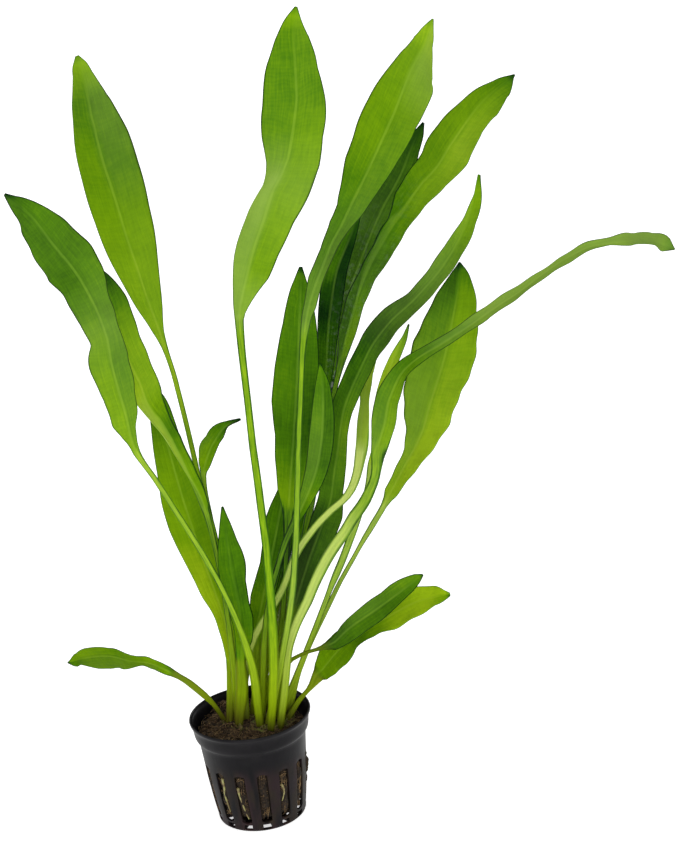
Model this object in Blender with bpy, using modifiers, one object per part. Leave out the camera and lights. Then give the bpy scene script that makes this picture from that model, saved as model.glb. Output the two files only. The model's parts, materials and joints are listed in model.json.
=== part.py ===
"""An aquarium sword plant in its slotted plastic pot.

The pot stands upright on the floor, the middle of its foot at the origin. +X is to the right and +Y to the
back as one looks at the plant from its front. Every leaf is one solid, stalk and blade together, and all leaves
stand on a short stock on top of the plug of soil.
"""

import math

import bmesh
import bpy
import numpy as np
from mathutils import Matrix

MM = 0.001
GAP = 0.3 * MM

# The pot: a five centimetre aquarium pot with a flared collar and tall slots.
POT_HEIGHT = 48 * MM
POT_WALL = 1.1 * MM
POT_FLOOR = 1.2 * MM
POT_STEPS = 42
FOOT_RADIUS = 17.4 * MM
# Outside radius of the wall at each height, from under the rim down to the foot, in millimetres.
POT_OUTSIDE = [
    (26.3, 47.4),
    (26.0, 46.4),
    (25.5, 45.4),
    (24.5, 40.6),
    (24.2, 39.4),
    (23.2, 38.4),
    (22.6, 32.0),
    (21.8, 22.0),
    (20.6, 12.0),
    (19.4, 4.0),
    (18.9, 1.6),
    (18.3, 0.5),
]
# The rim's rounded top, from the inside out, in the same way.
POT_RIM = [(24.9, 47.6), (25.3, 48.0), (25.9, 48.0)]
# Between these heights the inside of the wall follows the outside.
INSIDE_FROM = 2.0 * MM
INSIDE_TO = 47.0 * MM
SLOT_COUNT = 14
SLOT_TURN = math.radians(7)
SLOT_WIDTH = 4.2 * MM
SLOT_BOTTOM = 3.4 * MM
SLOT_TOP = 28.5 * MM
NOTCH_WIDTH = 2.4 * MM
NOTCH_HEIGHT = 2.0 * MM
NOTCH_INNER_RADIUS = 15.2 * MM
CUTTER_DEPTH = 12 * MM

# The plug of soil that fills the pot, and the stock that stands on it.
PLUG_BOTTOM = POT_FLOOR + GAP
PLUG_TOP = 42 * MM
PLUG_TOP_RADIUS = 22.4 * MM
PLUG_SHOULDER = 41.0 * MM
PLUG_SHOULDER_RADIUS = 23.2 * MM
PLUG_FOOT_RADIUS = 15.0 * MM
# Heights in millimetres, from the top down, at which the plug follows the wall's inside.
PLUG_HEIGHTS = (37.5, 32.0, 22.0, 12.0, 4.0)
PLUG_CLEARANCE = 0.4 * MM
ROUND_STEPS = 28
STOCK_CENTRE = (3.5 * MM, 2.5 * MM)
STOCK_HALF_SIZE = (17 * MM, 13.5 * MM)
STOCK_TOP = 44.2 * MM
STOCK_ROUNDING = 0.4 * MM
LEAF_FOOT = STOCK_TOP + GAP

# Roots that lie in the front slots: the slot counted from the front, and sideways and upward places along it.
ROOT_RADIUS = 0.5 * MM
ROOTS = {
    "root_left": (-2, [(0.9, 26.0), (1.0, 21.5), (0.2, 18.0), (0.6, 13.5), (1.1, 9.0)]),
    "root_middle": (-1, [(-1.1, 19.0), (-0.3, 17.5), (0.8, 17.0), (1.1, 14.0), (0.4, 9.5), (0.9, 6.5)]),
    "root_right": (1, [(-0.9, 19.5), (0.1, 19.0), (0.5, 16.5), (-0.3, 14.0), (-0.9, 12.5)]),
}

# Each leaf: how far its blade is turned from facing the front, in degrees, where the blade starts and at its
# tip, then the stalk and the blade as stations of right, back, up and half width, in millimetres. A minus turn
# faces the right. The blade starts where the stalk ends.
LEAVES = {
    "tall_centre_leaf": (
        (-5, -15),
        [(9, -8, 44.5, 1.3), (14, -14, 80, 2), (18, -25, 152, 1.7), (19, -36, 234, 1.8)],
        [(21, -38, 244, 3.5), (28, -43, 261, 7.5), (37, -47, 278, 9), (45, -52, 295, 9.5),
         (50, -61, 319, 11.5), (52, -68, 340, 8), (53, -72, 351, 4), (55, -76, 361, 0.5)],
    ),
    "upper_left_leaf": (
        (-15, -30),
        [(-8, 11, 44.5, 1.3), (-6, 20, 83, 1.5), (-9, 34, 132, 1.5), (-14, 44, 185, 1.5)],
        [(-18, 47, 205, 1.8), (-22, 49, 224, 6.5), (-27, 56, 253, 12.5), (-31, 61, 282, 13),
         (-34, 67, 304, 9), (-36, 70, 313, 5.5), (-39, 74, 325, 0.5)],
    ),
    "wavy_left_leaf": (
        (-30, -15),
        [(4, -4, 44.5, 1.3), (4, -10, 77, 1.5), (-4, -17, 116, 1.5), (-22, -32, 169, 1.5)],
        [(-29, -40, 189, 2), (-31, -45, 209, 6.5), (-33, -49, 228, 8), (-33, -50, 239, 6.5),
         (-37, -58, 261, 8), (-41, -61, 273, 10), (-46, -67, 284, 8.5), (-51, -74, 296, 5),
         (-58, -83, 307, 0.5)],
    ),
    "left_behind_leaf": (
        (-35, -25),
        [(-5.5, 1.5, 44.5, 1.3), (-4, -1, 71, 1.5), (-4, -1, 111, 1.3)],
        [(-7, -3, 147, 1.8), (-14, -7, 177, 3.5), (-18, -11, 190, 4), (-22, -14, 200, 6.5),
         (-29, -20, 225, 8.5), (-32, -25, 245, 7.5), (-36, -31, 263, 0.5)],
    ),
    "broad_left_leaf": (
        (-20, -20),
        [(-9, 3.5, 44.5, 1.3), (-6.5, 4, 60, 1.8)],
        [(-5, 4, 72, 2.5), (-6, 8, 89, 4.5), (-9, 10, 104, 7.5), (-15, 15, 133, 9), (-19, 18, 158, 7),
         (-22, 17, 183, 4), (-23, 16, 195, 0.5)],
    ),
    "short_broad_leaf": (
        (-15, -10),
        [(-5, -2, 44.5, 1.3), (-2, -3, 60, 2)],
        [(0, -6, 78, 2), (2, -7, 91, 3.5), (2, -9, 118, 6.5), (1, -10, 134, 4), (0, -11, 148, 0.5)],
    ),
    "curled_leaf": (
        (-30, -40),
        [(-5, 8, 44.5, 1.3), (-6, 14, 81, 1.2), (-6, 20, 126, 1.2)],
        [(-7, 22, 150, 1.2), (-5, 22, 157, 3), (-1, 21, 165, 4.5), (5, 19, 172, 1.5), (12, 15, 176, 0.5)],
    ),
    "upper_right_leaf": (
        (15, 20),
        [(8, -4, 44.5, 1.3), (16.3, -10, 73, 1.5), (26.5, -16, 114, 1.8), (38, -28, 192, 1.5)],
        [(45, -31, 231, 2), (57, -32, 258, 3), (63, -32, 267, 4), (68, -34, 276, 6.5), (79, -38, 295, 9.5),
         (88, -41, 312, 11), (96, -45, 328, 7), (101, -49, 337, 3.5), (105, -50, 346, 0.5)],
    ),
    "dark_back_leaf": (
        (25, 25),
        [(8, 13, 44.5, 1.3), (19, 20, 87, 1.6), (28.5, 28, 117, 1.7), (36, 33, 137, 1.5)],
        [(55, 43, 192, 2.5), (66, 47, 221, 5), (81, 49, 249, 6.5), (92, 52, 265, 5), (98, 54, 276, 3),
         (103, 58, 283, 0.5)],
    ),
    "upper_far_right_leaf": (
        (20, 30),
        [(9, 2, 44.5, 1.3), (20, 6, 77, 1.5), (31, 11, 116, 1.5), (53, 18, 184, 1.5)],
        [(61, 20, 207, 4), (69, 22, 229, 7), (80, 22, 248, 8), (91, 23, 260, 7), (105, 23, 272, 9),
         (112, 23, 281, 10), (123, 23, 294, 7), (132, 23, 301, 4), (140, 23, 306, 0.5)],
    ),
    "deep_shade_leaf": (
        (15, 20),
        [(4, 10, 44.5, 1.3), (16, 13, 83, 1.6), (27, 19, 117, 1.6), (42, 26, 163, 1.5)],
        [(49, 30, 184, 3), (54, 32, 210, 5), (59, 32, 229, 5), (66, 33, 243, 3), (72, 34, 254, 0.5)],
    ),
    "dark_centre_leaf": (
        (-10, 0),
        [(5, 5, 44.5, 1.3), (17, 3, 79, 1.6), (25, 4, 122, 1.8)],
        [(29, 5, 146, 4.5), (34, 7, 172, 8.5), (38, 9, 195, 9), (41, 9, 214, 7.5), (43, 11, 226, 5),
         (45, 11, 240, 0.5)],
    ),
    "lower_centre_leaf": (
        (-15, -5),
        [(1.5, 8, 44.5, 1.3), (5, 6.5, 63, 1.6)],
        [(6.5, 8, 79, 3), (12, 9, 97, 4.7), (20, 11, 122, 4.8), (26, 14, 141, 3), (31, 14, 158, 0.5)],
    ),
    "inner_leaf": (
        (5, 10),
        [(5, 0, 44.5, 1.3), (10, -6, 79, 1.5), (14.5, -9, 101, 1.5), (25, -11, 129, 1.8)],
        [(33, -12, 143, 2.5), (41, -13, 159, 4.5), (45.5, -14, 176, 5.2), (48, -14, 195, 3.5),
         (48, -14, 206, 0.5)],
    ),
    "long_diagonal_leaf": (
        (15, 45),
        [(12.5, -3.2, 44.5, 1.3), (16, -3, 71, 1.6), (23.5, 0, 90, 1.9)],
        [(27, 1, 99, 2.2), (32.5, 2, 112, 3.8), (39, 1, 126, 4.8), (45.5, 0, 141, 5), (49.5, -1, 157, 5),
         (56, -3, 182, 5.5), (67, -7, 204, 5.5), (78, -11, 219, 6), (90, -14, 229, 5), (103, -18, 244, 5),
         (112, -22, 259, 4), (118, -25, 279, 0.5)],
    ),
    "broad_right_leaf": (
        (25, 20),
        [(17, 6, 44.5, 1.3), (24.5, 7.5, 64, 1.2), (41, 12, 91, 1.2), (56, 17, 114, 1.2),
         (67, 22.5, 127, 1.2)],
        [(71, 24, 132, 2.2), (77, 26, 140, 4), (87, 29, 155, 7.5), (93, 30, 171, 11.5),
         (100, 32, 188, 13.5), (105, 32, 204, 11), (109, 32, 217, 6.5), (111, 32, 228, 0.5)],
    ),
    "arching_right_leaf": (
        (30, 66),
        [(13, -6, 44.5, 1.3), (21, -8, 80, 1.8), (31.5, -11, 105, 2.2), (41, -15, 122, 2.4),
         (52.5, -20, 138, 1.8), (64, -27, 160, 1.8)],
        [(71, -34, 184, 5.5), (74, -35, 196, 5.5), (81, -36, 208, 4), (100, -36, 219, 2.5),
         (122, -36, 231, 4), (140, -36, 241, 3.5), (156, -36, 248, 3), (168, -36, 249, 2.5),
         (181, -36, 248, 4), (191, -36, 243, 0.5)],
    ),
    "narrow_right_leaf": (
        (40, 50),
        [(14, 4, 44.5, 1.3), (30, 3, 77, 1.2), (43, -2, 106, 1.2), (51, -7, 125, 1.2), (60, -13, 148, 1.2)],
        [(65, -19, 170, 3), (70, -23, 189, 3.5), (77, -23, 206, 3), (85, -23, 221, 0.5)],
    ),
    "thin_right_leaf": (
        (40, 50),
        [(-2, 4, 44.5, 1.3), (-1, 2, 62, 1.7), (6, 0, 82, 1.7), (20, -3, 103, 1.8), (30, -6, 123, 1.9),
         (44.5, -9, 140, 1.9), (54, -9, 148, 1.8), (60, -7, 160, 1.6)],
        [(63, -3, 175, 3), (66, 2, 187, 3), (69.5, 8, 200, 0.5)],
    ),
    "low_left_leaf": (
        (-55, -60),
        [(-12, 4, 44.5, 1.1), (-16, -1, 55, 1.1), (-24, -3, 65, 1.1)],
        [(-32, -6, 74, 2), (-40, -10, 81, 4), (-46, -13, 84, 5.5), (-54, -17, 89, 7.5), (-64, -22, 92, 5),
         (-71, -24, 92, 0.5)],
    ),
    "low_right_front_leaf": (
        (35, 30),
        [(13, 0, 44.5, 1.1), (19, -1, 65, 1), (27, -4, 72, 1), (34, -7, 76, 1.2)],
        [(40, -9, 80, 3.5), (48, -13, 88, 6), (60, -17, 97, 6), (71, -20, 105, 4), (80, -22, 112, 0.5)],
    ),
    "low_right_back_leaf": (
        (35, 35),
        [(18, 2, 44.5, 1.1), (22, 4, 49, 1), (27, 4, 54, 1.2)],
        [(33, 3, 62, 4), (40, 1, 70, 7.5), (50, -1, 79, 7.5), (65, -4, 87, 7.5), (77, -6, 93, 6.5),
         (86, -7, 95, 3), (91, -9, 96, 0.5)],
    ),
}

# How a leaf is built up: closed rings of eight corners along its line, on the stalk one at each station.
BLADE_RINGS = 11
STALK_THICKNESS = 0.8 * MM
STALK_RIDGE = 1.04 * MM
RIB_THICKNESS = 0.45 * MM
BLADE_THICKNESS = 0.22 * MM
EDGE_LIFT = 0.16
BLADE_FROM = 2.0 * MM
BLADE_BLEND = 2.5 * MM
MIN_HALF_WIDTH = 0.3 * MM
# The last part of a leaf's length, in which it thins to this share of its thickness.
TIP_SHARE = 0.06
TIP_THINNING = 0.3
# Corners round a ring: across, the side it lies on (2 is the rib) and its share of the edge lift.
RING = [
    (1.0, 0, 1.0),
    (0.6, 1, 0.36),
    (0.0, 2, 0.0),
    (-0.6, 1, 0.36),
    (-1.0, 0, 1.0),
    (-0.6, -1, 0.36),
    (0.0, -2, 0.0),
    (0.6, -1, 0.36),
]
# The direction that an unturned blade faces: to the front and a little up.
FRONT = np.array([0.0, -0.94, 0.342])

LEAF_COLOURS = {
    "bright": (0.19, 0.35, 0.012),
    "middle": (0.09, 0.22, 0.010),
    "dark": (0.025, 0.09, 0.006),
}
DARK_LEAVES = {
    "deep_shade_leaf",
    "dark_back_leaf",
    "dark_centre_leaf",
    "lower_centre_leaf",
    "short_broad_leaf",
}
BRIGHT_LEAVES = {
    "tall_centre_leaf",
    "upper_left_leaf",
    "upper_right_leaf",
    "upper_far_right_leaf",
    "broad_right_leaf",
    "low_right_back_leaf",
}


def clear_scene():
    """Takes every object out of the scene."""
    for thing in list(bpy.data.objects):
        bpy.data.objects.remove(thing, do_unlink=True)


def new_collection(name):
    """A collection in the scene."""
    collection = bpy.data.collections.new(name)
    bpy.context.scene.collection.children.link(collection)
    return collection


def principled(name, colour, roughness, metallic=0.0):
    """A plain material of one colour."""
    material = bpy.data.materials.new(name)
    material.use_nodes = True
    shader = material.node_tree.nodes["Principled BSDF"]
    shader.inputs["Base Color"].default_value = (*colour, 1.0)
    shader.inputs["Roughness"].default_value = roughness
    shader.inputs["Metallic"].default_value = metallic
    return material


def mesh_object(name, mesh, collection, material=None):
    """An object that holds a mesh."""
    thing = bpy.data.objects.new(name, mesh)
    if material:
        mesh.materials.append(material)
    collection.objects.link(thing)
    return thing


def profile_object(name, outline, collection, material, steps):
    """A turned shape: an outline of radius and height, swept once round the upright axis."""
    mesh = bpy.data.meshes.new(name)
    points = [(radius, 0.0, height) for radius, height in outline]
    mesh.from_pydata(points, [(i, i + 1) for i in range(len(points) - 1)], [])
    thing = mesh_object(name, mesh, collection, material)
    turn = thing.modifiers.new("turn", "SCREW")
    turn.steps = steps
    turn.render_steps = steps
    turn.use_merge_vertices = True
    turn.merge_threshold = 0.00005
    turn.use_smooth_shade = True
    return thing


def slot_cutters(name, distance, size, height, collection):
    """One cutter for a whole row of openings: a box at each slot's turn, at a distance and a height."""
    shape = bmesh.new()
    for index in range(SLOT_COUNT):
        place = Matrix.Rotation(slot_angle(index), 4, "Z") @ Matrix.Translation((distance, 0.0, height))
        bmesh.ops.create_cube(shape, size=1.0, matrix=place @ Matrix.Diagonal((*size, 1.0)))
    mesh = bpy.data.meshes.new(name)
    shape.to_mesh(mesh)
    shape.free()
    cutter = mesh_object(name, mesh, collection)
    cutter.hide_render = True
    cutter.display_type = "WIRE"
    return cutter


def slot_angle(index):
    """Where a slot lies, as a turn from +X; slot 0 is the one nearest the front."""
    return -math.pi / 2 + SLOT_TURN + index * 2 * math.pi / SLOT_COUNT


def outside_radius(height):
    """Outside radius of the pot's wall at a height."""
    heights = [z * MM for _, z in reversed(POT_OUTSIDE)]
    radii = [r * MM for r, _ in reversed(POT_OUTSIDE)]
    return float(np.interp(height, heights, radii))


def make_pot(collection, cutters):
    """The pot: a thin turned shell with a floor, a rolled rim, tall slots and a foot notch under each."""
    outside = [(r * MM, z * MM) for r, z in POT_OUTSIDE]
    inside = [(r - POT_WALL, z) for r, z in reversed(outside) if INSIDE_FROM < z < INSIDE_TO]
    outline = [(0.0, POT_FLOOR), (FOOT_RADIUS, POT_FLOOR)]
    outline += inside
    outline += [(r * MM, z * MM) for r, z in POT_RIM]
    outline += outside
    outline += [(FOOT_RADIUS, 0.0), (0.0, 0.0)]
    material = principled("pot_plastic", (0.012, 0.012, 0.014), 0.42)
    pot = profile_object("pot", outline, collection, material, POT_STEPS)
    slot_middle = (SLOT_BOTTOM + SLOT_TOP) / 2
    slot_size = (CUTTER_DEPTH, SLOT_WIDTH, SLOT_TOP - SLOT_BOTTOM)
    notch_size = (CUTTER_DEPTH, NOTCH_WIDTH, 2 * NOTCH_HEIGHT)
    notch_distance = NOTCH_INNER_RADIUS + CUTTER_DEPTH / 2
    for cutter in (
        slot_cutters("slot_cutter", outside_radius(slot_middle), slot_size, slot_middle, cutters),
        slot_cutters("notch_cutter", notch_distance, notch_size, 0.0, cutters),
    ):
        cut = pot.modifiers.new(cutter.name, "BOOLEAN")
        cut.object = cutter
        cut.operation = "DIFFERENCE"
        cut.solver = "EXACT"
    return pot


def make_plug(collection):
    """The plug of soil: it fills the pot a little clear of the wall."""
    outline = [(0.0, PLUG_TOP), (PLUG_TOP_RADIUS, PLUG_TOP), (PLUG_SHOULDER_RADIUS, PLUG_SHOULDER)]
    for height in PLUG_HEIGHTS:
        outline.append((outside_radius(height * MM) - POT_WALL - PLUG_CLEARANCE, height * MM))
    outline += [(PLUG_FOOT_RADIUS, PLUG_BOTTOM), (0.0, PLUG_BOTTOM)]
    material = principled("soil", (0.055, 0.032, 0.014), 0.95)
    return profile_object("soil_plug", outline, collection, material, ROUND_STEPS)


def make_stock(collection):
    """The short stock that the leaves grow from: a low oval block with rounded edges."""
    height = STOCK_TOP - PLUG_TOP - GAP
    size = Matrix.Diagonal((*STOCK_HALF_SIZE, height, 1.0))
    shape = bmesh.new()
    bmesh.ops.create_cone(
        shape, cap_ends=True, segments=ROUND_STEPS, radius1=1.0, radius2=1.0, depth=1.0, matrix=size
    )
    mesh = bpy.data.meshes.new("crown")
    shape.to_mesh(mesh)
    shape.free()
    material = principled("crown", (0.12, 0.14, 0.02), 0.7)
    stock = mesh_object("crown", mesh, collection, material)
    stock.location = (*STOCK_CENTRE, STOCK_TOP - height / 2)
    rounding = stock.modifiers.new("rounding", "BEVEL")
    rounding.width = STOCK_ROUNDING
    rounding.segments = 2
    return stock


def make_root(name, slot, places, collection):
    """A root that lies in a slot, in the thickness of the wall."""
    path = bpy.data.curves.new(name, "CURVE")
    path.dimensions = "3D"
    path.bevel_depth = ROOT_RADIUS
    path.bevel_resolution = 1
    path.use_fill_caps = True
    line = path.splines.new("POLY")
    line.points.add(len(places) - 1)
    angle = slot_angle(slot)
    for point, (sideways, up) in zip(line.points, places):
        radius = outside_radius(up * MM) - POT_WALL / 2
        x = radius * math.cos(angle) - sideways * MM * math.sin(angle)
        y = radius * math.sin(angle) + sideways * MM * math.cos(angle)
        point.co = (x, y, up * MM, 1.0)
    path.materials.append(principled(name, (0.42, 0.36, 0.16), 0.6))
    root = bpy.data.objects.new(name, path)
    collection.objects.link(root)
    return root


def smooth_line(stations, shares):
    """Places on a smooth curve through the stations, at shares of its length from 0 to 1.

    Between two stations the curve is a cubic whose slope at each station is that of the chord between its
    neighbours.
    """
    steps = np.linalg.norm(np.diff(stations[:, :3], axis=0), axis=1)
    along = np.concatenate([[0.0], np.cumsum(steps)])
    slope = np.empty_like(stations)
    slope[1:-1] = (stations[2:] - stations[:-2]) / (along[2:] - along[:-2])[:, None]
    slope[0] = (stations[1] - stations[0]) / steps[0]
    slope[-1] = (stations[-1] - stations[-2]) / steps[-1]
    here = shares * along[-1]
    index = np.clip(np.searchsorted(along, here, side="right") - 1, 0, len(steps) - 1)
    length = steps[index][:, None]
    t = ((here - along[index]) / steps[index])[:, None]
    start = (2 * t**3 - 3 * t**2 + 1) * stations[index]
    start_slope = (t**3 - 2 * t**2 + t) * length * slope[index]
    end = (3 * t**2 - 2 * t**3) * stations[index + 1]
    end_slope = (t**3 - t**2) * length * slope[index + 1]
    return start + start_slope + end + end_slope


def unit(vectors):
    """Vectors of length one."""
    return vectors / np.linalg.norm(vectors, axis=1)[:, None]


def leaf_rings(stalk, blade, turn):
    """Rings of eight corners along a leaf, from its foot to its tip.

    A ring lies across the leaf's line. On the stalk it is nearly round, and on the blade it is a thin lens with
    a rib, its edges lifted a little towards the side it faces. The first ring is level, because it is the foot.
    """
    stations = np.array(stalk + blade) * MM
    steps = np.linalg.norm(np.diff(stations[:, :3], axis=0), axis=1)
    station_shares = np.concatenate([[0.0], np.cumsum(steps)]) / steps.sum()
    blade_start = station_shares[len(stalk)]
    stalk_shares = station_shares[: len(stalk)]
    blade_shares = np.linspace(blade_start, 1.0, BLADE_RINGS)
    shares = np.concatenate([stalk_shares, blade_shares])
    line = smooth_line(stations, shares)
    middle = line[:, :3]
    half_width = np.maximum(line[:, 3], MIN_HALF_WIDTH)[:, None]
    ahead = unit(np.gradient(middle, axis=0))
    across = unit(np.cross(ahead, FRONT))
    facing = np.cross(across, ahead)
    bladed = np.clip((half_width - BLADE_FROM) / BLADE_BLEND, 0.0, 1.0)
    turned = np.radians(np.interp(shares, [blade_start, 1.0], turn))[:, None]
    turned = turned * np.clip(half_width / BLADE_FROM - 0.8, 0.0, 1.0)
    across, facing = (
        across * np.cos(turned) + facing * np.sin(turned),
        facing * np.cos(turned) - across * np.sin(turned),
    )
    taper = np.clip((1 - shares) / TIP_SHARE, TIP_THINNING, 1.0)[:, None]
    rib = (STALK_RIDGE * (1 - bladed) + RIB_THICKNESS * bladed) * taper
    flank = (STALK_THICKNESS * (1 - bladed) + BLADE_THICKNESS * bladed) * taper
    depth = {0: 0.0, 1: flank, 2: rib, -1: -flank, -2: -rib}
    lift = EDGE_LIFT * half_width * bladed
    rings = []
    for side, level, lifted in RING:
        rings.append(middle + across * half_width * side + facing * (depth[level] + lift * lifted))
    rings = np.stack(rings, axis=1)
    rings[0, :, 2] = LEAF_FOOT
    return rings


def loft(name, rings, collection, material):
    """A closed skin over rings of corners, capped at both ends."""
    shape = bmesh.new()
    corners = [[shape.verts.new(place) for place in ring] for ring in rings]
    count = len(corners[0])
    for low, high in zip(corners[:-1], corners[1:]):
        for i in range(count):
            j = (i + 1) % count
            shape.faces.new((low[i], low[j], high[j], high[i]))
    shape.faces.new(corners[0][::-1])
    shape.faces.new(corners[-1])
    bmesh.ops.recalc_face_normals(shape, faces=shape.faces)
    mesh = bpy.data.meshes.new(name)
    shape.to_mesh(mesh)
    shape.free()
    mesh.shade_smooth()
    return mesh_object(name, mesh, collection, material)


def leaf_colour(name):
    """The colour that a leaf has in its place in the bunch."""
    if name in DARK_LEAVES:
        return LEAF_COLOURS["dark"]
    if name in BRIGHT_LEAVES:
        return LEAF_COLOURS["bright"]
    return LEAF_COLOURS["middle"]


def make_leaf(name, collection):
    """One leaf, stalk and blade in one piece."""
    turn, stalk, blade = LEAVES[name]
    material = principled(name, leaf_colour(name), 0.45)
    return loft(name, leaf_rings(stalk, blade, turn), collection, material)


def main():
    """Builds the potted plant."""
    clear_scene()
    plant = new_collection("potted_echinodorus")
    cutters = new_collection("cutters")
    make_pot(plant, cutters)
    make_plug(plant)
    make_stock(plant)
    for name, (slot, places) in ROOTS.items():
        make_root(name, slot, places, plant)
    for name in LEAVES:
        make_leaf(name, plant)


main()
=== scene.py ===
# %% [markdown]
# # An aquarium sword plant in its slotted pot
#
# The plant has a short stock. Twenty-two leaves grow from it, each a thin ridged stalk that widens into a
# long blade. The stock stands in a plug of brown fibrous soil, and the plug sits in a small black pot with
# tall slots.
#
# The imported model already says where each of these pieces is. This lesson makes the fine surface of each one
# in the same place, as a function of two parameters worked out with numpy, and then gives it a procedural
# finish.

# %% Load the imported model
import json
import math

import bpy
import numpy as np
from mathutils import Matrix, Vector


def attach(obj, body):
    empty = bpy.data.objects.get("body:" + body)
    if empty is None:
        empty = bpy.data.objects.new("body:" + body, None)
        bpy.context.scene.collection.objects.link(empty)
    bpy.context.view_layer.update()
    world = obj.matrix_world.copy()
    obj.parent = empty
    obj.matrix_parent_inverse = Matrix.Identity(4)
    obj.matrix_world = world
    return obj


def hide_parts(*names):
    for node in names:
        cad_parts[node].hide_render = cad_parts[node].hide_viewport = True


MM = 0.001
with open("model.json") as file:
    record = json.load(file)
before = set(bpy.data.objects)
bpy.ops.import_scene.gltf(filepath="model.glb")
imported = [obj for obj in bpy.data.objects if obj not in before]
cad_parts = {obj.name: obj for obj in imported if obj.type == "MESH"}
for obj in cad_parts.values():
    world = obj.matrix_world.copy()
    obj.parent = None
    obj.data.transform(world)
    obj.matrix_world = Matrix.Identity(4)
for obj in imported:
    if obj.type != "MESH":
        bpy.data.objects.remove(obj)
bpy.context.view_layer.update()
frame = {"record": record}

# %% [markdown]
# ## The camera
#
# The pot's rim and foot are circles, so they show as two ellipses, and their widths and heights say how far
# the camera is and how much it looks down: about a metre away, and 20 degrees down. The pot leans to the left
# in the picture because the camera is rolled by 6.7 degrees. The camera's own right, up and back directions
# are the columns of its matrix, so the roll is a turn of the first two in their plane.

# %% Place the camera
CAMERA_PLACE = Vector((52.8, -940.7, 511.4)) * MM
CAMERA_AIM = Vector((52.8, 0.0, 172.0)) * MM
CAMERA_ROLL = math.radians(6.7)
SENSOR = 36.0
FOCAL_PIXELS = 2415.3
PICTURE_HEIGHT = 858
FOCAL_LENGTH = SENSOR * FOCAL_PIXELS / PICTURE_HEIGHT


def place_camera():
    """Makes the camera: it looks from its place to its aim, and its up direction leans right by the roll."""
    forward = (CAMERA_AIM - CAMERA_PLACE).normalized()
    level_right = forward.cross(Vector((0, 0, 1))).normalized()
    level_up = level_right.cross(forward)
    up = level_up * math.cos(CAMERA_ROLL) + level_right * math.sin(CAMERA_ROLL)
    right = level_right * math.cos(CAMERA_ROLL) - level_up * math.sin(CAMERA_ROLL)
    data = bpy.data.cameras.new("camera")
    data.sensor_width = SENSOR
    data.lens = FOCAL_LENGTH
    data.clip_start = 0.01
    data.clip_end = 50.0
    camera = bpy.data.objects.new("camera", data)
    turn = Matrix((right, up, -forward)).transposed().to_4x4()
    camera.matrix_world = Matrix.Translation(CAMERA_PLACE) @ turn
    bpy.context.scene.collection.objects.link(camera)
    bpy.context.scene.camera = camera


place_camera()
print("focal length:", round(FOCAL_LENGTH, 2), "mm")

# %% [markdown]
# ## Shader maths as Python expressions
#
# A leaf's veins, a scuffed pot and damp soil all need small formulas in the shader. Wiring Math nodes by hand
# hides the formula. Here a socket is wrapped in a class whose operators add the Math nodes, so that `1 - mask
# * 0.5` in Python becomes two nodes. Colours go through Mix nodes, because a Math node would make them grey.

# %% Wrap a socket, and add nodes in one way


class Sock:
    """An output socket of a material's nodes that adds Math nodes when it is used in an expression."""

    def __init__(self, paint, socket):
        self.paint = paint
        self.socket = socket

    def math(self, operation, *others, flipped=False):
        """A Math node on this socket and the others; flipped puts this socket second."""
        terms = (*others, self) if flipped else (self, *others)
        return self.paint.node("ShaderNodeMath", {"operation": operation}, dict(enumerate(terms)))

    def __add__(self, other):
        return self.math("ADD", other)

    def __sub__(self, other):
        return self.math("SUBTRACT", other)

    def __rsub__(self, other):
        return self.math("SUBTRACT", other, flipped=True)

    def __mul__(self, other):
        return self.math("MULTIPLY", other)

    def __truediv__(self, other):
        return self.math("DIVIDE", other)

    def __pow__(self, other):
        return self.math("POWER", other)

    __radd__ = __add__
    __rmul__ = __mul__

    def absolute(self):
        """The size of the number, without its sign."""
        return self.math("ABSOLUTE")

    def sine(self):
        """The sine of the number, taken as radians."""
        return self.math("SINE")

    def ramp(self, low, high):
        """0 below low, 1 above high, and a smooth step between them; low may be the larger one."""
        flip = low > high
        step = self.paint.node(
            "ShaderNodeMapRange",
            {"interpolation_type": "SMOOTHSTEP"},
            {"Value": self, "From Min": min(low, high), "From Max": max(low, high)},
        )
        return 1 - step if flip else step


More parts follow.
